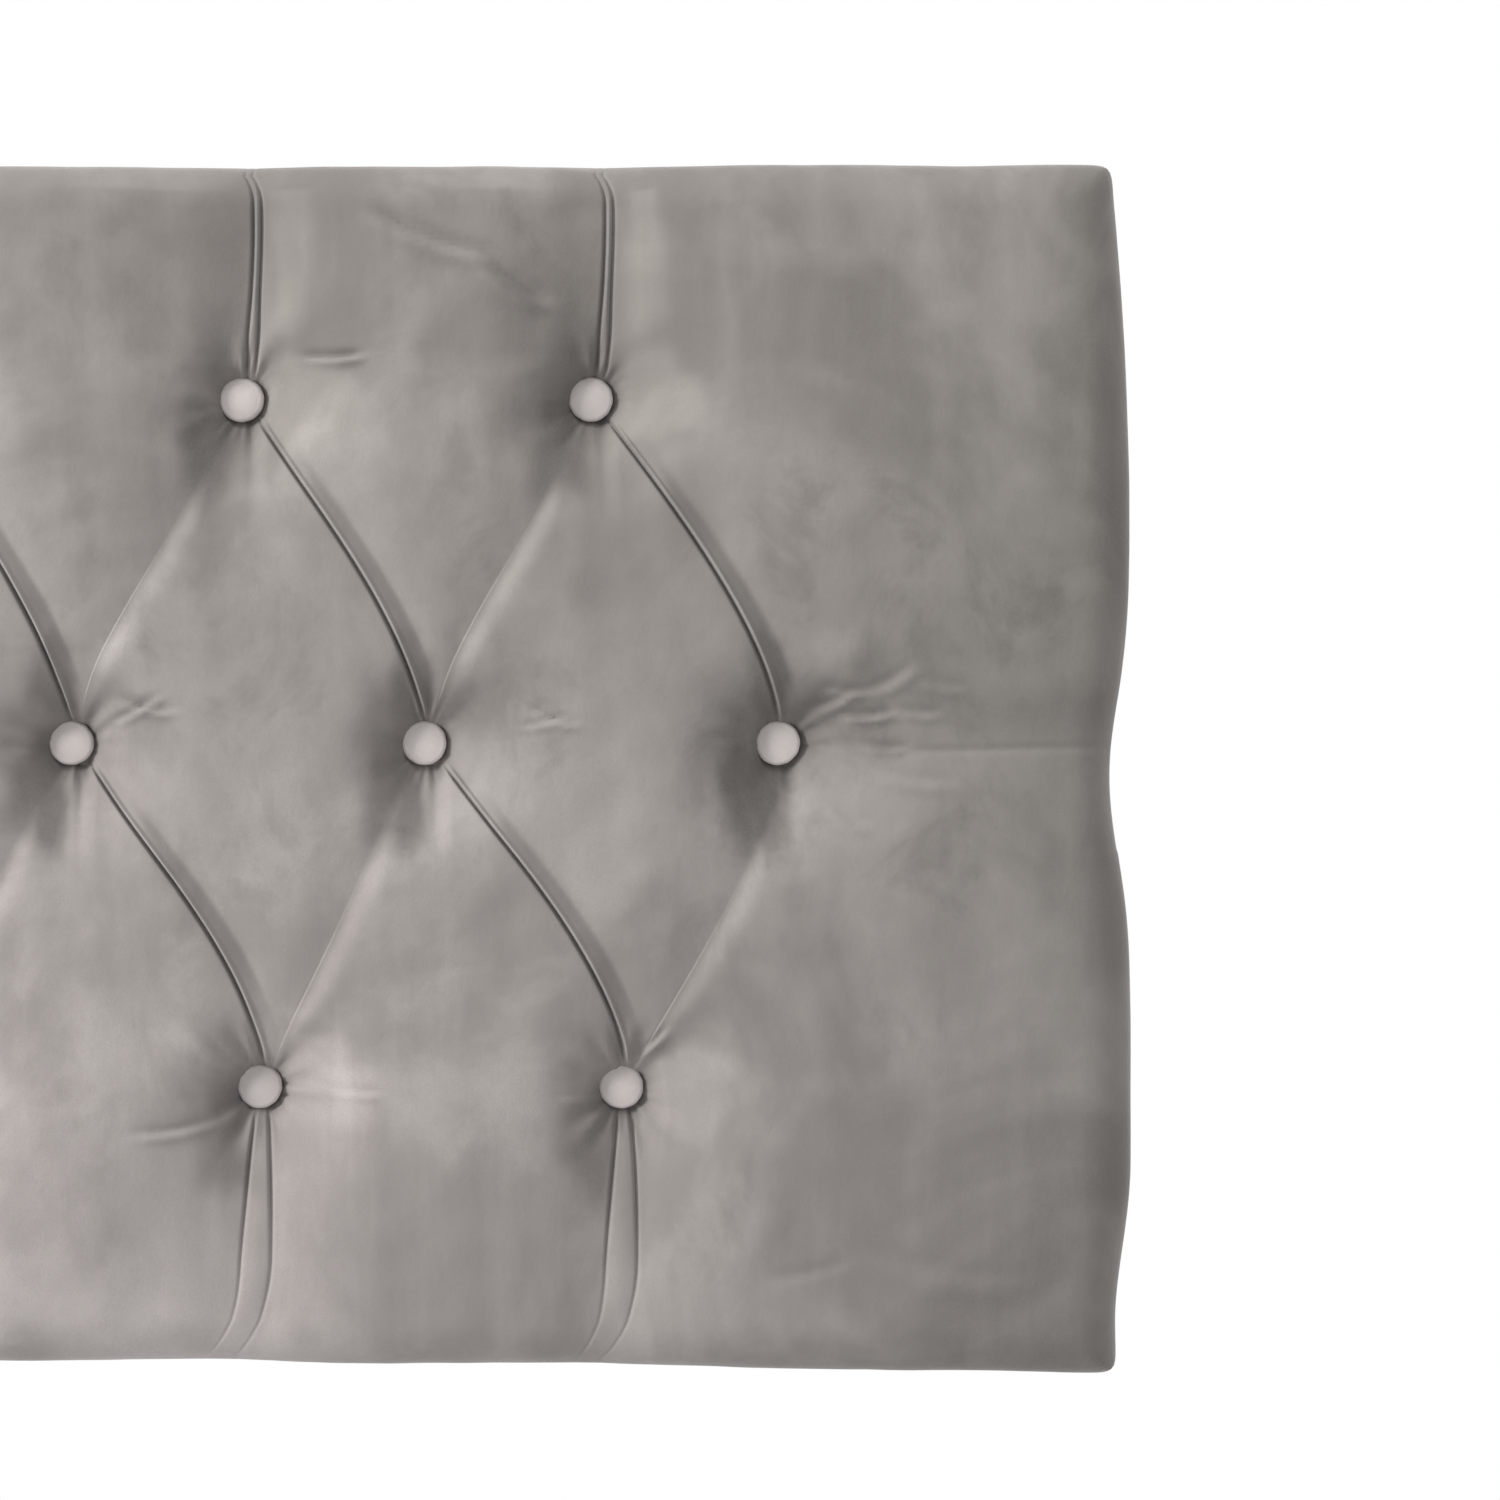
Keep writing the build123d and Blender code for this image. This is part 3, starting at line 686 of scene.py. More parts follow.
def cover_columns(z, settings):
    """Column places and crease relief for every row: columns crowd against the crease lines, and the
    two margins run out to the sides."""
    rows = crease_lines(z, settings.crease_bow / MM)
    lines = rows["lines"]
    front_half = PANEL_HALF - SIDE_ROUND
    first, last, final = lines[:, :1], lines[:, -1:], lines.shape[1] - 1
    x, relief = margin_relief(rows, 0, first, first + front_half, False)
    xs, reliefs = [x[:, :0:-1]], [relief[:, :, :0:-1]]
    for column in range(final):
        x, relief = cell_relief(rows, column, lines[:, column:column + 1], lines[:, column + 1:column + 2])
        xs.append(x[:, :-1])
        reliefs.append(relief[:, :, :-1])
    x, relief = margin_relief(rows, final, last, front_half - last, True)
    return np.concatenate([*xs, x], axis=1), np.concatenate([*reliefs, relief], axis=2)


def painted_patch(x, z, buttons, across, down, radius, stretch, blur, strength):
    """How much darker a patch of painted shade beside some buttons makes the velvet, or lighter for a
    painted highlight where the strength is below 0: a patch with a wavy rim. A point's distance from the
    patch's centre is divided by the rim's, and stepped over the blur."""
    patch = np.zeros_like(x)
    for bx, bz in buttons:
        near = (np.abs(x - bx) < 90) & (np.abs(z - bz) < 100)
        dx, dz = x[near] - bx - across, (z[near] - bz + down) / stretch
        turn = np.arctan2(dz, dx)
        rim = radius * (1 + 0.16 * np.sin(3 * turn + bx) + 0.07 * np.sin(7 * turn + 2 * bx))
        patch[near] = np.maximum(patch[near], smooth((0.95 + blur / 2 - np.hypot(dx, dz) / rim) / blur))
    return strength * patch


def painted_light_and_shade(x, z, lean):
    """Painted shade and highlight at each point, as a share of its whole range: the cloth's slope, squeezed
    to 0 to 1 by a hyperbolic tangent, so that slopes facing away from the key light on the left are darker
    and those facing it lighter, with painted marks of shade and highlight by the buttons and a few broad
    zones of painted shade and light, of bells and steps."""
    value = 0.5 + 0.5 * np.tanh(SLOPE_SHADE_GAIN * lean) + sum(painted_patch(x, z, *mark) for mark in PAINTED_SHADE_AND_HIGHLIGHT_MARKS)
    # Broad zones of painted shade where they are added, and of painted light where they are taken away
    value += 0.3 * bell(z, 100, 60) + 0.25 * smooth((x - 560) / 90) * smooth((-120 - z) / 60)
    value -= 0.2 * bell(z, -105, 62) * smooth((560 - x) / 260)
    value = np.clip(value, 0, PAINTED_DARKEST) + sum(painted_patch(x, z, *mark) for mark in PAINTED_HIGHLIGHT_MARKS)
    value -= 0.24 * bell(z, -130, 70) * smooth((x - 320) / 100) * (1 - smooth((x - 600) / 90))
    value -= 0.4 * bell(z, 318, 24) * bell(x, 580, 50)
    return np.clip((value - PAINTED_LIGHTEST) / (PAINTED_DARKEST - PAINTED_LIGHTEST), 0, 1)


def build_cover(settings):
    """The cover's mesh: the buttoned front, its wrap round four sides, the hem and the pocket for the
    stuffing. The relief fades on the walls, and the sides swell out where they aren't fixed."""
    low, high = COVER_LOW[2] + EDGE_ROUND, COVER_HIGH[2] - EDGE_ROUND
    front_z = row_heights(low, high)
    depth = BACK_Y - CROWN_Y
    side = ring_profile(SIDE_ROUND, SIDE_TUCK, depth, WADDING_LOW[1] - CROWN_Y)
    edge = ring_profile(EDGE_ROUND, EDGE_TUCK, depth, WADDING_LOW[1] - CROWN_Y)
    run = np.cumsum(np.hypot(np.diff(edge[0], prepend=0.0), np.diff(edge[1], prepend=0.0)))
    z = np.concatenate([low - run[::-1], front_z, high + run])
    x, relief = cover_columns(z, settings)
    sunk = cover_relief(x, z[:, None] + 0 * x, relief[0], relief[1], settings)
    grid = wrapped(x, front_z, side, edge)
    sunk = np.pad(sunk, ((0, 0), (grid["rings"], grid["rings"])), mode="edge")
    front_turn = np.clip(grid["turn"], 0, np.pi / 2)
    sunk = sunk * (1 - 0.6 * smooth(grid["turn"] / 1.5)) * (1 - smooth((grid["turn"] - np.pi / 2) / 0.6))
    sunk = sunk * (1 - smooth((grid["back"] - 14) / 15) * (grid["turn"] > 0))
    px = grid["x"] - np.sin(front_turn) * grid["out_x"] * sunk
    pz = grid["z"] - np.sin(front_turn) * grid["out_z"] * sunk
    py = CROWN_Y + grid["back"] + np.cos(front_turn) * sunk
    towards_back = 1 - smooth((grid["back"] - SIDE_ROUND) / (depth - SIDE_ROUND))
    px += np.sign(px) * side_swell(pz) * smooth((np.abs(px) - 540) / 150) * towards_back
    drop = (np.abs(px) / PANEL_HALF) ** 2 * towards_back
    pz -= LOWER_CORNER_DROP * drop * smooth((MIDDLE_Z - 60 - pz) / 190)
    piece = closed_sheet("velvet_cover_dressed", px, py, pz)
    # Painted shade and highlight follow the cloth's slope: the fall of depth to the left and downwards
    slope_x = np.gradient(sunk, axis=1) / np.maximum(np.abs(np.gradient(px, axis=1)), 0.25)
    slope_z = np.gradient(sunk, axis=0) / np.maximum(np.abs(np.gradient(pz, axis=0)), 0.25)
    lean = np.where(grid["turn"] < 1.3, 0.9 * slope_x - 0.35 * slope_z, 0.0)
    # The painted shade and highlight are kept on the cover's points for its velvet
    painted_shading = piece.data.attributes.new("painted_light_and_shade", "FLOAT", "POINT")
    painted_shading.data.foreach_set("value", painted_light_and_shade(px, pz, lean).astype(np.float32).ravel())
    return piece


def build_box(name, low, high, radius, profile_tail):
    """A rounded box open to the back: a flat front, quarter-circle edges and walls, then the rings of
    profile_tail, each a distance in from the wall and a depth behind the front."""
    turn = np.linspace(0, np.pi / 2, 6)[1:]
    depth = high[1] - low[1]
    tail = np.array(profile_tail, float).reshape(-1, 2)
    out = np.concatenate([radius * np.sin(turn), [radius], radius - tail[:, 0]])
    back = np.concatenate([radius * (1 - np.cos(turn)), [depth], tail[:, 1]])
    angle = np.concatenate([turn, [np.pi / 2], np.full(len(tail), np.pi)])
    front_x = np.linspace(low[0] + radius, high[0] - radius, 100)
    front_z = np.linspace(low[2] + radius, high[2] - radius, 44)
    x = np.tile(front_x, (len(front_z) + 2 * len(out), 1))
    grid = wrapped(x, front_z, (out, back, angle), (out, back, angle))
    flat = 1 - smooth(grid["turn"] / 1.2)
    ripple = 0.5 + 0.5 * smooth_noise(grid["x"], grid["z"], 3, (90.0, 30.0), (0.8, 0.3))
    y = low[1] + grid["back"] + 0.4 * flat * np.clip(ripple, 0, 1)
    return closed_sheet(name, grid["x"], y, grid["z"])


def lining_places(start, end, centres, radius):
    """Grid lines from start to end: 12 even steps across each hole's square, and longer ones between."""
    steps = np.linspace(-3, 3, 13) * radius
    stops = [start, *[place for c in centres for place in (c - 3 * radius, c + 3 * radius)], end]
    spans = zip(stops[::2], stops[1::2])
    runs = [np.linspace(a, b, max(2, int((b - a) / 9)) + 1)[1:-1] for a, b in spans]
    return np.sort(np.concatenate([[start, end], *[c + steps for c in centres], *runs]))


def build_lining(settings):
    """The back lining: a flat grid with faint ripples and four round holes. Round each hole the grid
    goes from a square to a circle: a point's place is scaled by the ratio of its square and round
    distances, fading out at three radii."""
    low, high = LINING_LOW, LINING_HIGH
    radius = LINING_HOLE_RADIUS
    columns = lining_places(low[0], high[0], STRUTS, radius)
    x, z = np.meshgrid(columns, lining_places(low[2], high[2], BOLTS, radius))
    kept = np.ones(x.shape, bool)
    px, pz = x.copy(), z.copy()
    for cx, cz in [(cx, cz) for cx in STRUTS for cz in BOLTS]:
        u, v = x - cx, z - cz
        square, away = np.maximum(np.abs(u), np.abs(v)), np.hypot(u, v)
        near = (square < 3 * radius) & (square > 0.9 * radius)
        blend = np.clip((3 * radius - square) / (2 * radius), 0, 1)
        scale = np.where(near, mix(1.0, square / np.maximum(away, 1e-6), blend), 1.0)
        px, pz = px + u * (scale - 1), pz + v * (scale - 1)
        kept &= square > 0.9 * radius
    quads = grid_quads(np.arange(x.size).reshape(x.shape))[..., [0, 3, 2, 1]]
    whole = quads[kept[:-1, :-1] & kept[:-1, 1:] & kept[1:, :-1] & kept[1:, 1:]]
    used = np.unique(whole)
    renumber = np.full(x.size, -1)
    renumber[used] = np.arange(len(used))
    y = high[1] - 0.5 + 0.12 * smooth_noise(px, pz, settings.seed + 1, (120.0, 35.0), (1.0, 0.4))
    points = np.stack([px, y, pz], axis=-1).reshape(-1, 3)[used] * MM
    piece = add_mesh("back_lining_cloth", points, renumber[whole].tolist())
    wall = piece.modifiers.new("thickness", "SOLIDIFY")
    wall.thickness = (high[1] - low[1]) * MM * 0.9
    wall.offset = 0.0
    return piece


def build_buttons(name, xs, z, settings):
    """A row of covered buttons, each a turned profile: a flat back, a straight rim, a quarter-round
    shoulder and a low parabolic dome, with faint gathers round the rim."""
    dome = settings.button_dome / MM
    seat = BUTTON_HIGH[1]
    rim = seat - BUTTON_LOW[1] - SHOULDER_ROUND
    angles = np.linspace(0, 2 * np.pi, 65)[:-1]
    shoulder = np.radians(np.linspace(0, 82, 9))
    flat = BUTTON_RADIUS - SHOULDER_ROUND * (1 - math.cos(shoulder[-1]))
    across = np.linspace(flat, 0.05, 12)[1:]
    radius = np.concatenate([
        [0.05, BUTTON_RADIUS * 0.9, BUTTON_RADIUS * 0.96],
        BUTTON_RADIUS - SHOULDER_ROUND * (1 - np.cos(shoulder)), across,
    ])[:, None]
    rise = np.concatenate([
        [0.0, 0.0, 0.3], rim + SHOULDER_ROUND * np.sin(shoulder),
        rim + SHOULDER_ROUND * math.sin(shoulder[-1]) + dome * (1 - (across / flat) ** 2),
    ])[:, None]
    edge = smooth((radius - 0.6 * BUTTON_RADIUS) / (0.4 * BUTTON_RADIUS))
    points, faces = [], []
    for number, x in enumerate(xs):
        ripple = 1 + edge * (0.006 * np.sin(11 * angles + x) + 0.008 * np.sin(3 * angles + 2 * x))
        dent = 0.18 * (1 - edge) * np.sin(2 * angles + x) * (radius / BUTTON_RADIUS)
        px = x + radius * np.cos(angles) * ripple
        pz = z + radius * np.sin(angles) * ripple
        py = seat - rise + dent * (rise > rim)
        index = number * px.size + np.arange(px.size).reshape(px.shape)
        turned = np.roll(index, -1, axis=1)
        quads = np.stack([index[:-1], index[1:], turned[1:], turned[:-1]], axis=-1).reshape(-1, 4)
        faces += quads.tolist() + [index[0].tolist(), index[-1][::-1].tolist()]
        points.append(np.stack([px, py, pz], axis=-1).reshape(-1, 3) * MM)
    return add_mesh(name, np.concatenate(points), faces)


# Materials


def fill(node, values):
    """Sets inputs of a node by their names."""
    for socket, value in values.items():
        node.inputs[socket].default_value = value


def shaded(colour, factor):
    """A colour made lighter or darker."""
    return (colour[0] * factor, colour[1] * factor, colour[2] * factor, 1.0)


class Finish:
    """A procedural material under construction: its nodes, its links and its principled shader."""

    def __init__(self, name, roughness, specular=0.5, metallic=0.0):
        self.material = bpy.data.materials.new(name)
        self.material.use_nodes = True
        self.nodes = self.material.node_tree.nodes
        self.links = self.material.node_tree.links
        self.shader = self.nodes["Principled BSDF"]
        fill(self.shader, {"Roughness": roughness, "Specular IOR Level": specular, "Metallic": metallic})

    def place(self, stretch=(1.0, 1.0, 1.0)):
        """Object coordinates, stretched along each axis."""
        coordinates = self.nodes.new("ShaderNodeTexCoord")
        mapping = self.nodes.new("ShaderNodeMapping")
        mapping.inputs["Scale"].default_value = stretch
        self.links.new(coordinates.outputs["Object"], mapping.inputs["Vector"])
        return mapping.outputs["Vector"]

    def noise(self, scale, detail=3.0, roughness=0.5, distortion=0.0, stretch=(1.0, 1.0, 1.0)):
        """A noise texture's value."""
        noise = self.nodes.new("ShaderNodeTexNoise")
        fill(noise, {"Scale": scale, "Detail": detail, "Roughness": roughness, "Distortion": distortion})
        self.links.new(self.place(stretch), noise.inputs["Vector"])
        return noise.outputs["Fac"]

    def attribute(self, name):
        """A value kept on the piece's points."""
        kept = self.nodes.new("ShaderNodeAttribute")
        kept.attribute_name = name
        return kept.outputs["Fac"]

    def cells(self, scale, feature="F1", stretch=(1.0, 1.0, 1.0)):
        """A cell pattern's distance."""
        cells = self.nodes.new("ShaderNodeTexVoronoi")
        cells.feature = feature
        cells.inputs["Scale"].default_value = scale
        self.links.new(self.place(stretch), cells.inputs["Vector"])
        return cells.outputs["Distance"]

    def bands(self, scale, distortion, detail, stretch, direction="X", profile="SAW"):
        """A wave texture's value."""
        wave = self.nodes.new("ShaderNodeTexWave")
        wave.bands_direction = direction
        wave.wave_profile = profile
        fill(wave, {"Scale": scale, "Distortion": distortion, "Detail": detail, "Detail Scale": 1.2})
        self.links.new(self.place(stretch), wave.inputs["Vector"])
        return wave.outputs["Fac"]

    def gradient(self, start, end):
        """0 at the start point and 1 at the end point, with smooth ends, in metres."""
        line = Vector(end) - Vector(start)
        along = self.nodes.new("ShaderNodeVectorMath")
        along.operation = "DOT_PRODUCT"
        self.links.new(self.place(), along.inputs[0])
        along.inputs[1].default_value = line / line.length_squared
        first = Vector(start).dot(line) / line.length_squared
        return self.spread(along.outputs["Value"], first, first + 1.0)

    def spread(self, value, low, high, out_low=0.0, out_high=1.0):
        """A value stretched so that low and high become out_low and out_high, with smooth ends."""
        spread = self.nodes.new("ShaderNodeMapRange")
        spread.interpolation_type = "SMOOTHSTEP"
        fill(spread, {"From Min": low, "From Max": high, "To Min": out_low, "To Max": out_high})
        self.links.new(value, spread.inputs["Value"])
        return spread.outputs["Result"]

    def blend(self, share, first, second, how="MIX"):
        """A colour between two others, or the first darkened or lightened by the second."""
        blend = self.nodes.new("ShaderNodeMix")
        blend.data_type = "RGBA"
        blend.blend_type = how
        for socket, value in ((blend.inputs[0], share), (blend.inputs[6], first), (blend.inputs[7], second)):
            if isinstance(value, bpy.types.NodeSocket):
                self.links.new(value, socket)
            else:
                socket.default_value = value
        return blend.outputs[2]

    def tint(self, colour, value, low, high, other, share=1.0, first_share=0.0):
        """A colour that gives way to another as a value goes from low to high, up to a share."""
        return self.blend(self.spread(value, low, high, first_share, share), colour, other)

    def multiply(self, colour, share, first, second):
        """A colour multiplied by a blend of two others."""
        return self.blend(1.0, colour, self.blend(share, first, second), "MULTIPLY")

    def colour(self, value):
        """Sets the base colour."""
        self.links.new(value, self.shader.inputs["Base Color"])

    def roughness(self, value, low, high):
        """Varies the roughness between low and high."""
        self.links.new(self.spread(value, 0.25, 0.75, low, high), self.shader.inputs["Roughness"])

    def bump(self, *layers):
        """Bumps the surface by each (height, strength, distance in metres), one after another."""
        normal = None
        for height, strength, distance in layers:
            bump = self.nodes.new("ShaderNodeBump")
            fill(bump, {"Strength": strength, "Distance": distance})
            self.links.new(height, bump.inputs["Height"])
            if normal:
                self.links.new(normal, bump.inputs["Normal"])
            normal = bump.outputs["Normal"]
        self.links.new(normal, self.shader.inputs["Normal"])


def velvet(name, base, light, sheen, patchy):
    """Plush velvet: soft patches where the pile lies another way, upright streaks, cloudy marks, a pale
    sheen, and bumps of crushed pile and single fibres. The cover's own also carries painted shade and
    highlight from its slope and from painted marks, and painted shade that darkens it towards the right end
    and the top and lightens it towards the lower left."""
    finish = Finish(name, 0.8, 0.15)
    patches = finish.noise(5.5, 4.0, 0.55, 0.9)
    clouds = finish.noise(17.0, 5.0, 0.62, 0.5, (1.0, 1.0, 0.8))
    streaks = finish.noise(34.0, 3.0, 0.6, 0.2, (1.0, 1.0, 0.16))
    crush = finish.noise(95.0, 4.0, 0.65, 0.3, (1.0, 1.0, 0.7))
    fibres = finish.noise(1300.0, 2.0, 0.7)
    colour = finish.tint(shaded(base, 1 - 0.17 * patchy), patches, 0.39, 0.61, light)
    colour = finish.tint(colour, clouds, 0.49, 0.67, shaded(base, 0.85), 0.8 * patchy)
    colour = finish.tint(colour, streaks, 0.45, 0.75, shaded(light, 1.07), 0.35 * patchy)
    colour = finish.tint(colour, crush, 0.3, 0.72, shaded(base, 0.72), 0.16)
    if patchy > 0.5:
        # Painted shade and highlight kept on the cover's points, from its slope and painted marks
        painted_shading = finish.attribute("painted_light_and_shade")
        colour = finish.multiply(colour, painted_shading, shaded(WHITE, 1.56), (0.51, 0.503, 0.495, 1.0))
        # Painted shade: darker towards the right end, as the key light falls off
        end = finish.gradient((0.30, 0.0, 0.05), (0.71, 0.0, -0.12))
        colour = finish.multiply(colour, end, WHITE, (0.645, 0.65, 0.64, 1.0))
        # Painted shade: darker with a faint olive cast towards the top, and painted light towards the lower
        # left
        height = finish.gradient((0.25, 0.0, 0.42), (-0.05, 0.0, -0.28))
        colour = finish.multiply(colour, height, (0.83, 0.84, 0.805, 1.0), shaded(WHITE, 1.18))
    finish.colour(finish.tint(colour, fibres, 0.3, 0.8, shaded(base, 0.8), 0.3))
    finish.roughness(clouds, 0.74, 0.9)
    tint = (0.98, 0.95, 0.93, 1.0)
    fill(finish.shader, {"Sheen Weight": sheen, "Sheen Roughness": 0.36, "Sheen Tint": tint})
    finish.bump((crush, 0.35, 0.0012), (fibres, 0.22, 0.0005))
    return finish.material


def timber(name, base, along_x):
    """Planed softwood: growth lines along the board, broad colour changes, pores and small knots."""
    run = (1.0, 9.0, 9.0) if along_x else (9.0, 9.0, 1.0)
    finish = Finish(name, 0.62, 0.35)
    rings = finish.bands(3.2, 7.0, 3.0, run, "Z" if along_x else "X")
    pores = finish.noise(60.0, 3.0, 0.6, 0.0, run)
    tone = finish.noise(2.2, 2.0)
    knots = finish.cells(5.5, stretch=(1.0, 1.0, 2.6) if along_x else (2.6, 1.0, 1.0))
    colour = finish.tint(base, rings, 0.15, 0.95, shaded(base, 0.68))
    colour = finish.tint(colour, tone, 0.3, 0.7, shaded(base, 1.15), 0.5)
    colour = finish.tint(colour, pores, 0.55, 0.8, shaded(base, 0.5), 0.5)
    finish.colour(finish.tint(colour, knots, 0.03, 0.09, shaded(base, 0.3), 0.0, 0.85))
    finish.roughness(pores, 0.55, 0.75)
    finish.bump((rings, 0.12, 0.0006), (pores, 0.25, 0.0004))
    return finish.material


def particle_board(name, base):
    """Pressed board: flat chips of several tones with dark resin between them."""
    finish = Finish(name, 0.72, 0.3)
    chips = finish.cells(160.0, "F1", (0.6, 1.0, 1.0))
    small = finish.cells(420.0)
    tone = finish.noise(70.0, 3.0, 0.7)
    colour = finish.tint(shaded(base, 1.2), chips, 0.1, 0.7, shaded(base, 0.62))
    colour = finish.tint(colour, tone, 0.35, 0.7, base, 0.7)
    finish.colour(finish.tint(colour, small, 0.45, 0.75, shaded(base, 0.4), 0.6))
    finish.roughness(tone, 0.65, 0.85)
    finish.bump((chips, 0.3, 0.0005), (small, 0.2, 0.0003))
    return finish.material


def foam_cell(name, base):
    """Cut polyether foam: small open cells and a few large ones, a little yellowed in patches."""
    finish = Finish(name, 0.9, 0.12)
    cells = finish.cells(520.0, "SMOOTH_F1")
    holes = finish.cells(95.0)
    tone = finish.noise(5.0, 3.0)
    colour = finish.tint(base, tone, 0.3, 0.7, shaded(base, 0.9))
    colour = finish.tint(colour, holes, 0.04, 0.12, shaded(base, 0.45), 0.0, 0.8)
    finish.colour(finish.tint(colour, cells, 0.1, 0.5, shaded(base, 0.65), 0.0, 0.4))
    finish.bump((cells, 0.5, 0.0008), (holes, 0.3, 0.001))
    return finish.material


def fibre_fleece(name, base, scale, stretch, depth, specular):
    """Bonded fibres: crossing strands, soft clouds of thick and thin, and a hairy surface."""
    finish = Finish(name, 0.92, specular)
    strands = finish.noise(scale, 6.0, 0.75, 1.6, stretch)
    crossing = finish.noise(scale * 0.8, 6.0, 0.75, 1.9, (stretch[2], stretch[1], stretch[0]))
    clouds = finish.noise(14.0, 4.0, 0.6)
    dots = finish.cells(330.0, "F1")
    colour = finish.tint(shaded(base, 0.82), clouds, 0.3, 0.7, shaded(base, 1.15))
    colour = finish.tint(colour, strands, 0.5, 0.66, shaded(base, 1.7), 0.75)
    colour = finish.tint(colour, crossing, 0.54, 0.68, shaded(base, 1.45), 0.6)
    finish.colour(finish.tint(colour, dots, 0.12, 0.3, shaded(base, 0.6), 0.0, 0.5))
    finish.bump((strands, 0.5, depth), (crossing, 0.4, depth), (dots, 0.3, depth * 0.7))
    return finish.material


def plated_steel(name, base, roughness, scratch_run):
    """Zinc-plated steel: pale crystals, fine scratches and duller handled patches."""
    finish = Finish(name, roughness, 0.5, 0.95)
    crystals = finish.cells(260.0)
    scratches = finish.noise(500.0, 3.0, 0.6, 0.0, scratch_run)
    dull = finish.noise(45.0, 4.0, 0.6)
    colour = finish.tint(shaded(base, 1.1), crystals, 0.1, 0.6, shaded(base, 0.86))
    finish.colour(finish.tint(colour, dull, 0.5, 0.75, shaded(base, 0.62), 0.6))
    finish.roughness(dull, roughness - 0.08, roughness + 0.2)
    finish.bump((scratches, 0.15, 0.0002), (crystals, 0.1, 0.0002))
    return finish.material


def twisted_twine(name, base):
    """Twisted button twine: slanting strands, loose fibres and painted shade in the hollows between the
    strands.
    """
    finish = Finish(name, 0.66, 0.3)
    strands = finish.bands(240.0, 1.2, 2.0, (0.6, 1.0, 0.55), "DIAGONAL", "SIN")
    fibres = finish.noise(1500.0, 3.0, 0.7)
    # Painted shade: the hollows between the strands are darker
    colour = finish.tint(shaded(base, 0.5), strands, 0.15, 0.8, base)
    finish.colour(finish.tint(colour, fibres, 0.45, 0.75, shaded(base, 1.3), 0.6))
    finish.bump((strands, 0.6, 0.0005), (fibres, 0.3, 0.0002))
    return finish.material


def set_material(piece, material):
    """One material on a new piece."""
    piece.data.materials.clear()
    piece.data.materials.append(material)


def dress(nodes, material):
    """A material on every slot of some nodes that the model keeps."""
    for node in nodes:
        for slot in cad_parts[node].material_slots:
            slot.material = material


# Operators


def sizes():
    """The scene's headboard settings."""
    return bpy.context.scene.headboard_sizes


def take_place(piece, node, material):
    """A new piece stands for a node, with that node's finish, and stays with the headboard."""
    set_material(piece, material)
    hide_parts(node)
    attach(piece, "root")


class HEADBOARD_OT_cover(bpy.types.Operator):
    """Build the buttoned velvet cover"""

    bl_idname = "headboard.cover"
    bl_label = "Velvet cover"

    def execute(self, context):
        settings = sizes()
        piece = build_cover(settings)
        material = velvet("plush_velvet", settings.velvet_colour, settings.velvet_light, 0.45, 1.0)
        take_place(piece, "velvet_cover", material)
        return {"FINISHED"}


class HEADBOARD_OT_stuffing(bpy.types.Operator):
    """Build the wadding and the foam under the cover"""

    bl_idname = "headboard.stuffing"
    bl_label = "Wadding and foam"

    def execute(self, context):
        settings = sizes()
        loft = WADDING_HIGH[1] - WADDING_LOW[1]
        layer = FOAM_LOW[1] - WADDING_LOW[1]
        inside = ((layer, loft), (layer, layer + 0.4))
        wadding = build_box("wadding_fleece", WADDING_LOW, WADDING_HIGH, WADDING_ROUND, inside)
        colour = settings.wadding_colour
        fleece = fibre_fleece("polyester_wadding", colour, 120.0, (1.0, 1.0, 0.25), 0.0016, 0.1)
        take_place(wadding, "wadding", fleece)
        foam = build_box("foam_slab", FOAM_LOW, FOAM_HIGH, FOAM_ROUND, ())
        take_place(foam, "foam_pad", foam_cell("polyether_foam", settings.foam_colour))
        return {"FINISHED"}


class HEADBOARD_OT_buttons(bpy.types.Operator):
    """Build the covered buttons, one piece for each row"""

    bl_idname = "headboard.buttons"
    bl_label = "Covered buttons"

    def execute(self, context):
        settings = sizes()
        # The buttons' velvet is a lighter copy of the cover's: painted light on their flat faces
        colour = settings.button_colour
        cloth = velvet("button_velvet", colour, shaded(colour, 1.1), 0.35, 0.4)
        for name, count in zip(ROW_NAMES, ROW_COUNTS):
            xs, z = button_row(name, count)
            piece = build_buttons(f"{name}_covered_buttons", xs, z, settings)
            take_place(piece, f"{name}_buttons", cloth)
        return {"FINISHED"}


class HEADBOARD_OT_lining(bpy.types.Operator):
    """Build the lining stapled over the back"""

    bl_idname = "headboard.lining"
    bl_label = "Back lining"

    def execute(self, context):
        settings = sizes()
        piece = build_lining(settings)
        cloth = fibre_fleece("black_lining", settings.lining_colour, 200.0, (1.0, 1.0, 0.3), 0.0004, 0.3)
        take_place(piece, "back_lining", cloth)
        return {"FINISHED"}


class HEADBOARD_OT_woodwork(bpy.types.Operator):
    """Finish the rails, stiles, battens and front board"""

    bl_idname = "headboard.woodwork"
    bl_label = "Frame and board"

    def execute(self, context):
        settings = sizes()
        lying = timber("rail_softwood", settings.timber_colour, True)
        standing = timber("stile_softwood", shaded(settings.timber_colour, 0.95), False)
        dress(("bottom_rail", "top_rail"), lying)
        dress(("left_stile", "right_stile", "left_strut_batten", "right_strut_batten"), standing)
        dress(("front_board",), particle_board("pressed_board", settings.board_colour))
        return {"FINISHED"}


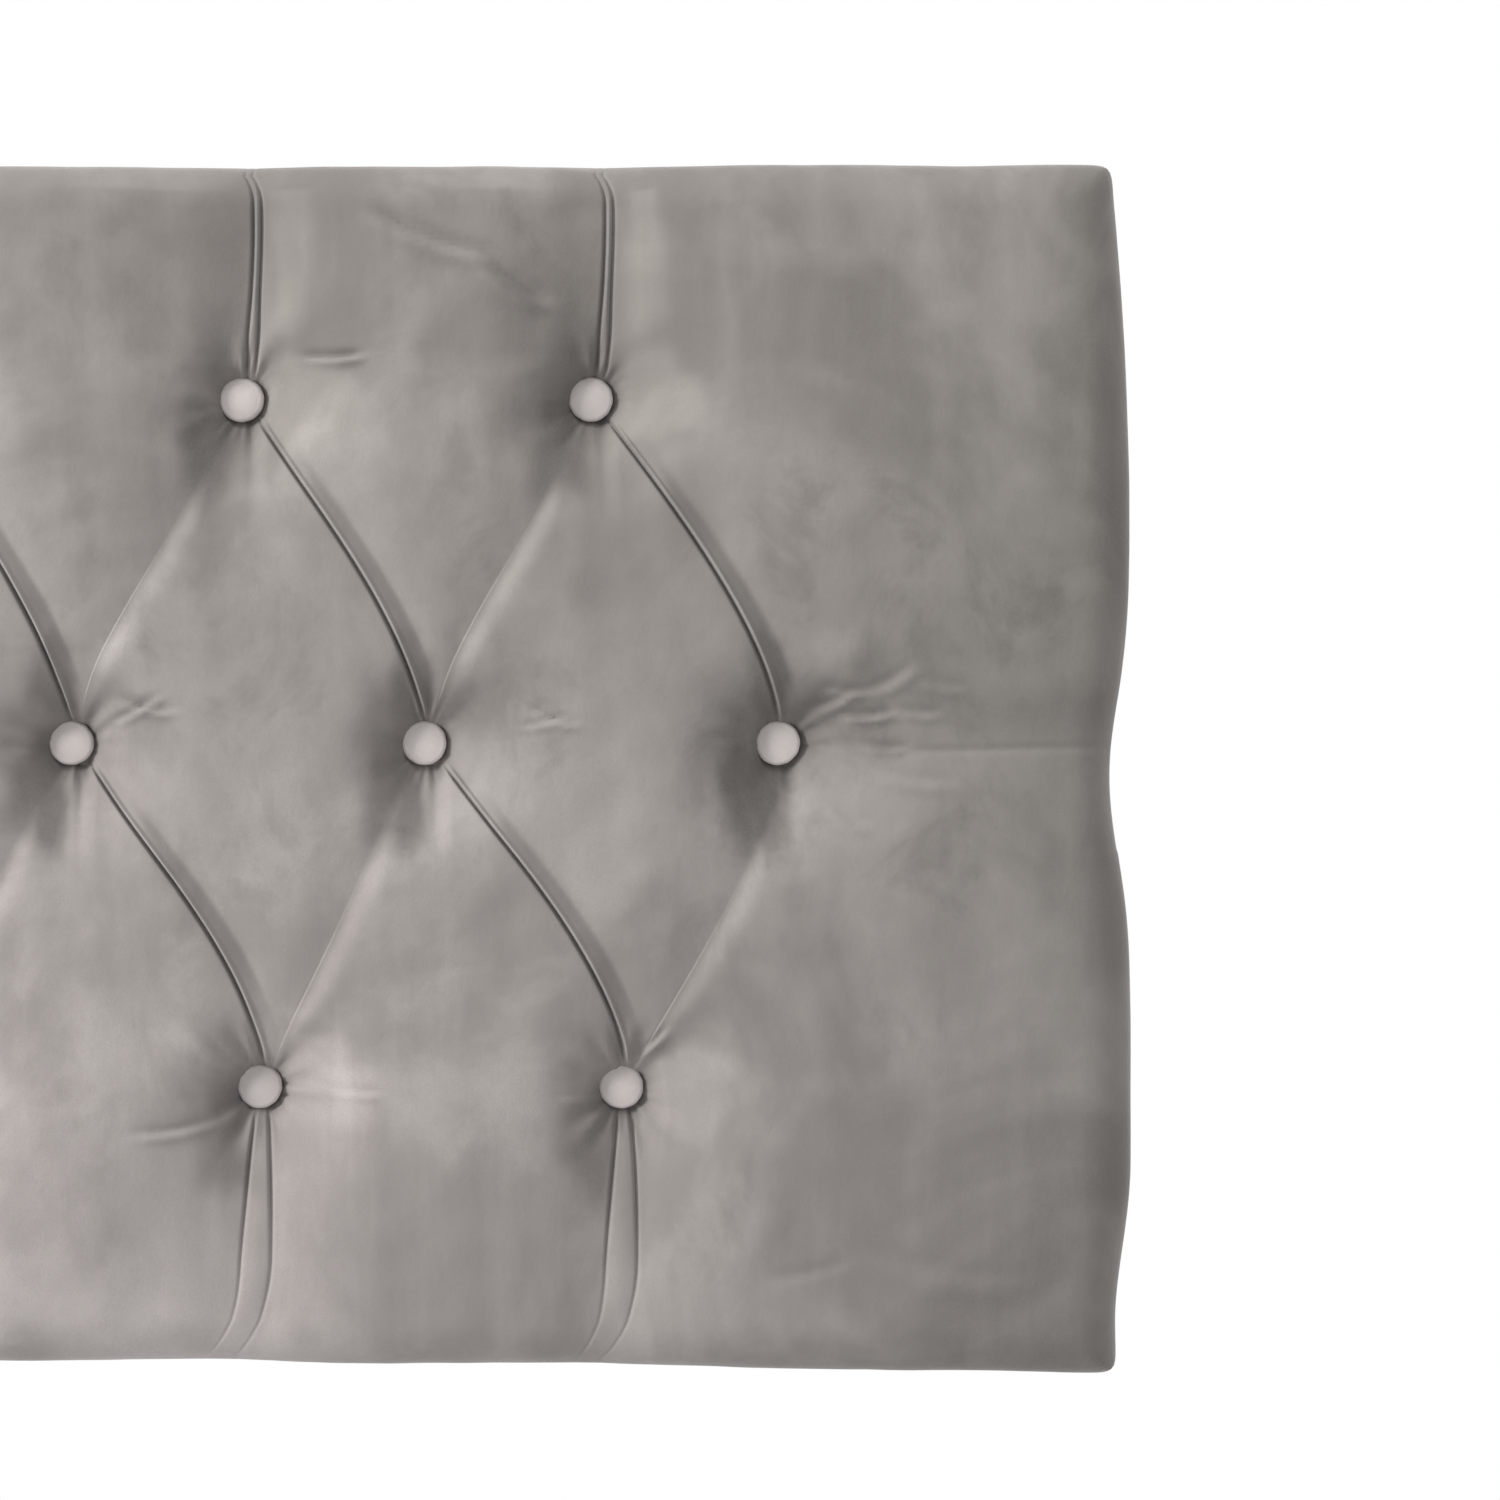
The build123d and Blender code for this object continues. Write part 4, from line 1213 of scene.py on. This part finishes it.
class HEADBOARD_OT_fastenings(bpy.types.Operator):
    """Finish the nuts, fasteners, staples and button twines"""

    bl_idname = "headboard.fastenings"
    bl_label = "Nuts, staples and twines"

    def execute(self, context):
        settings = sizes()
        steel = settings.steel_colour
        dress(("tee_nuts",), plated_steel("zinc_nut", steel, 0.32, (1.0, 1.0, 0.1)))
        fastener = plated_steel("bright_fastener", shaded(steel, 0.9), 0.38, (0.1, 1.0, 1.0))
        dress(("corner_fasteners",), fastener)
        wire = plated_steel("staple_wire", shaded(steel, 0.95), 0.3, (1.0, 0.1, 1.0))
        dress(("hem_staples", "lining_staples", "board_staples", "twine_staples"), wire)
        twine = twisted_twine("button_twine", settings.twine_colour)
        dress([f"{name}_twines" for name in ROW_NAMES], twine)
        return {"FINISHED"}


def area_light(name, place, target, size, energy):
    """A square white area light that faces a point."""
    data = bpy.data.lights.new(name, "AREA")
    data.size = size
    data.energy = energy
    lamp = bpy.data.objects.new(name, data)
    lamp.location = place
    lamp.rotation_euler = (Vector(target) - Vector(place)).to_track_quat("-Z", "Y").to_euler()
    bpy.context.scene.collection.objects.link(lamp)


def studio_world():
    """An even pale world that lights softly, and shows white to the camera and in reflections."""
    world = bpy.data.worlds.new("studio")
    world.use_nodes = True
    nodes, links = world.node_tree.nodes, world.node_tree.links
    nodes.clear()
    out, blend = nodes.new("ShaderNodeOutputWorld"), nodes.new("ShaderNodeMixShader")
    path = nodes.new("ShaderNodeLightPath")
    share = path.outputs["Is Camera Ray"]
    for ray in ("Is Glossy Ray", "Is Transmission Ray"):
        either = nodes.new("ShaderNodeMath")
        either.operation = "MAXIMUM"
        links.new(share, either.inputs[0])
        links.new(path.outputs[ray], either.inputs[1])
        share = either.outputs[0]
    links.new(share, blend.inputs[0])
    for socket, strength in ((1, WORLD_LIGHT), (2, 1.0)):
        light = nodes.new("ShaderNodeBackground")
        fill(light, {"Color": WHITE, "Strength": strength})
        links.new(light.outputs[0], blend.inputs[socket])
    links.new(blend.outputs[0], out.inputs["Surface"])
    return world


def picture_camera():
    """A camera on a level line a little to the right of the target's front, facing the target."""
    data = bpy.data.cameras.new("camera")
    data.sensor_width = CAMERA_SENSOR
    data.lens = CAMERA_SENSOR * CAMERA_DISTANCE / PICTURE_WIDTH
    camera = bpy.data.objects.new("camera", data)
    from_target = Vector((math.sin(CAMERA_YAW), -math.cos(CAMERA_YAW), 0.0)) * CAMERA_DISTANCE
    camera.location = CAMERA_TARGET + from_target
    camera.rotation_euler = (CAMERA_TARGET - camera.location).to_track_quat("-Z", "Y").to_euler()
    bpy.context.scene.collection.objects.link(camera)
    return camera


class HEADBOARD_OT_stage(bpy.types.Operator):
    """Set up the floor, lights, world and camera"""

    bl_idname = "headboard.stage"
    bl_label = "Stage"

    def execute(self, context):
        scene = context.scene
        scene.view_settings.view_transform = "Standard"
        corners = np.array([(x, y, cad_low.z - FLOOR_DROP) for x, y in FLOOR_CORNERS])
        floor = add_mesh("floor", corners, [[0, 1, 2, 3]], rounded=False)
        finish = Finish("pale_floor", 0.7, 0.2)
        finish.colour(finish.blend(finish.noise(3.0), shaded(WHITE, 0.86), shaded(WHITE, 0.9)))
        set_material(floor, finish.material)
        scene.world = studio_world()
        for lamp in LAMPS:
            area_light(*lamp)
        scene.camera = picture_camera()
        return {"FINISHED"}


OPERATORS = (
    HEADBOARD_OT_stage, HEADBOARD_OT_woodwork, HEADBOARD_OT_fastenings, HEADBOARD_OT_stuffing,
    HEADBOARD_OT_cover, HEADBOARD_OT_buttons, HEADBOARD_OT_lining,
)


class HEADBOARD_PT_panel(bpy.types.Panel):
    """Lists the sizes, the colours and the pieces that can be built"""

    bl_idname = "HEADBOARD_PT_panel"
    bl_label = "Headboard"
    bl_space_type = "VIEW_3D"
    bl_region_type = "UI"
    bl_category = "Headboard"

    def draw(self, context):
        settings = context.scene.headboard_sizes
        for name in HeadboardSizes.__annotations__:
            self.layout.prop(settings, name)
        for operator in OPERATORS:
            self.layout.operator(operator.bl_idname)


CLASSES = (HeadboardSizes, *OPERATORS, HEADBOARD_PT_panel)


def register():
    for made in CLASSES:
        bpy.utils.register_class(made)
    bpy.types.Scene.headboard_sizes = PointerProperty(type=HeadboardSizes)


def unregister():
    del bpy.types.Scene.headboard_sizes
    for made in reversed(CLASSES):
        bpy.utils.unregister_class(made)


def main():
    register()
    bpy.ops.headboard.stage()
    bpy.ops.headboard.woodwork()
    bpy.ops.headboard.fastenings()
    bpy.ops.headboard.stuffing()
    bpy.ops.headboard.cover()
    bpy.ops.headboard.buttons()
    bpy.ops.headboard.lining()


if __name__ == "__main__":
    main()
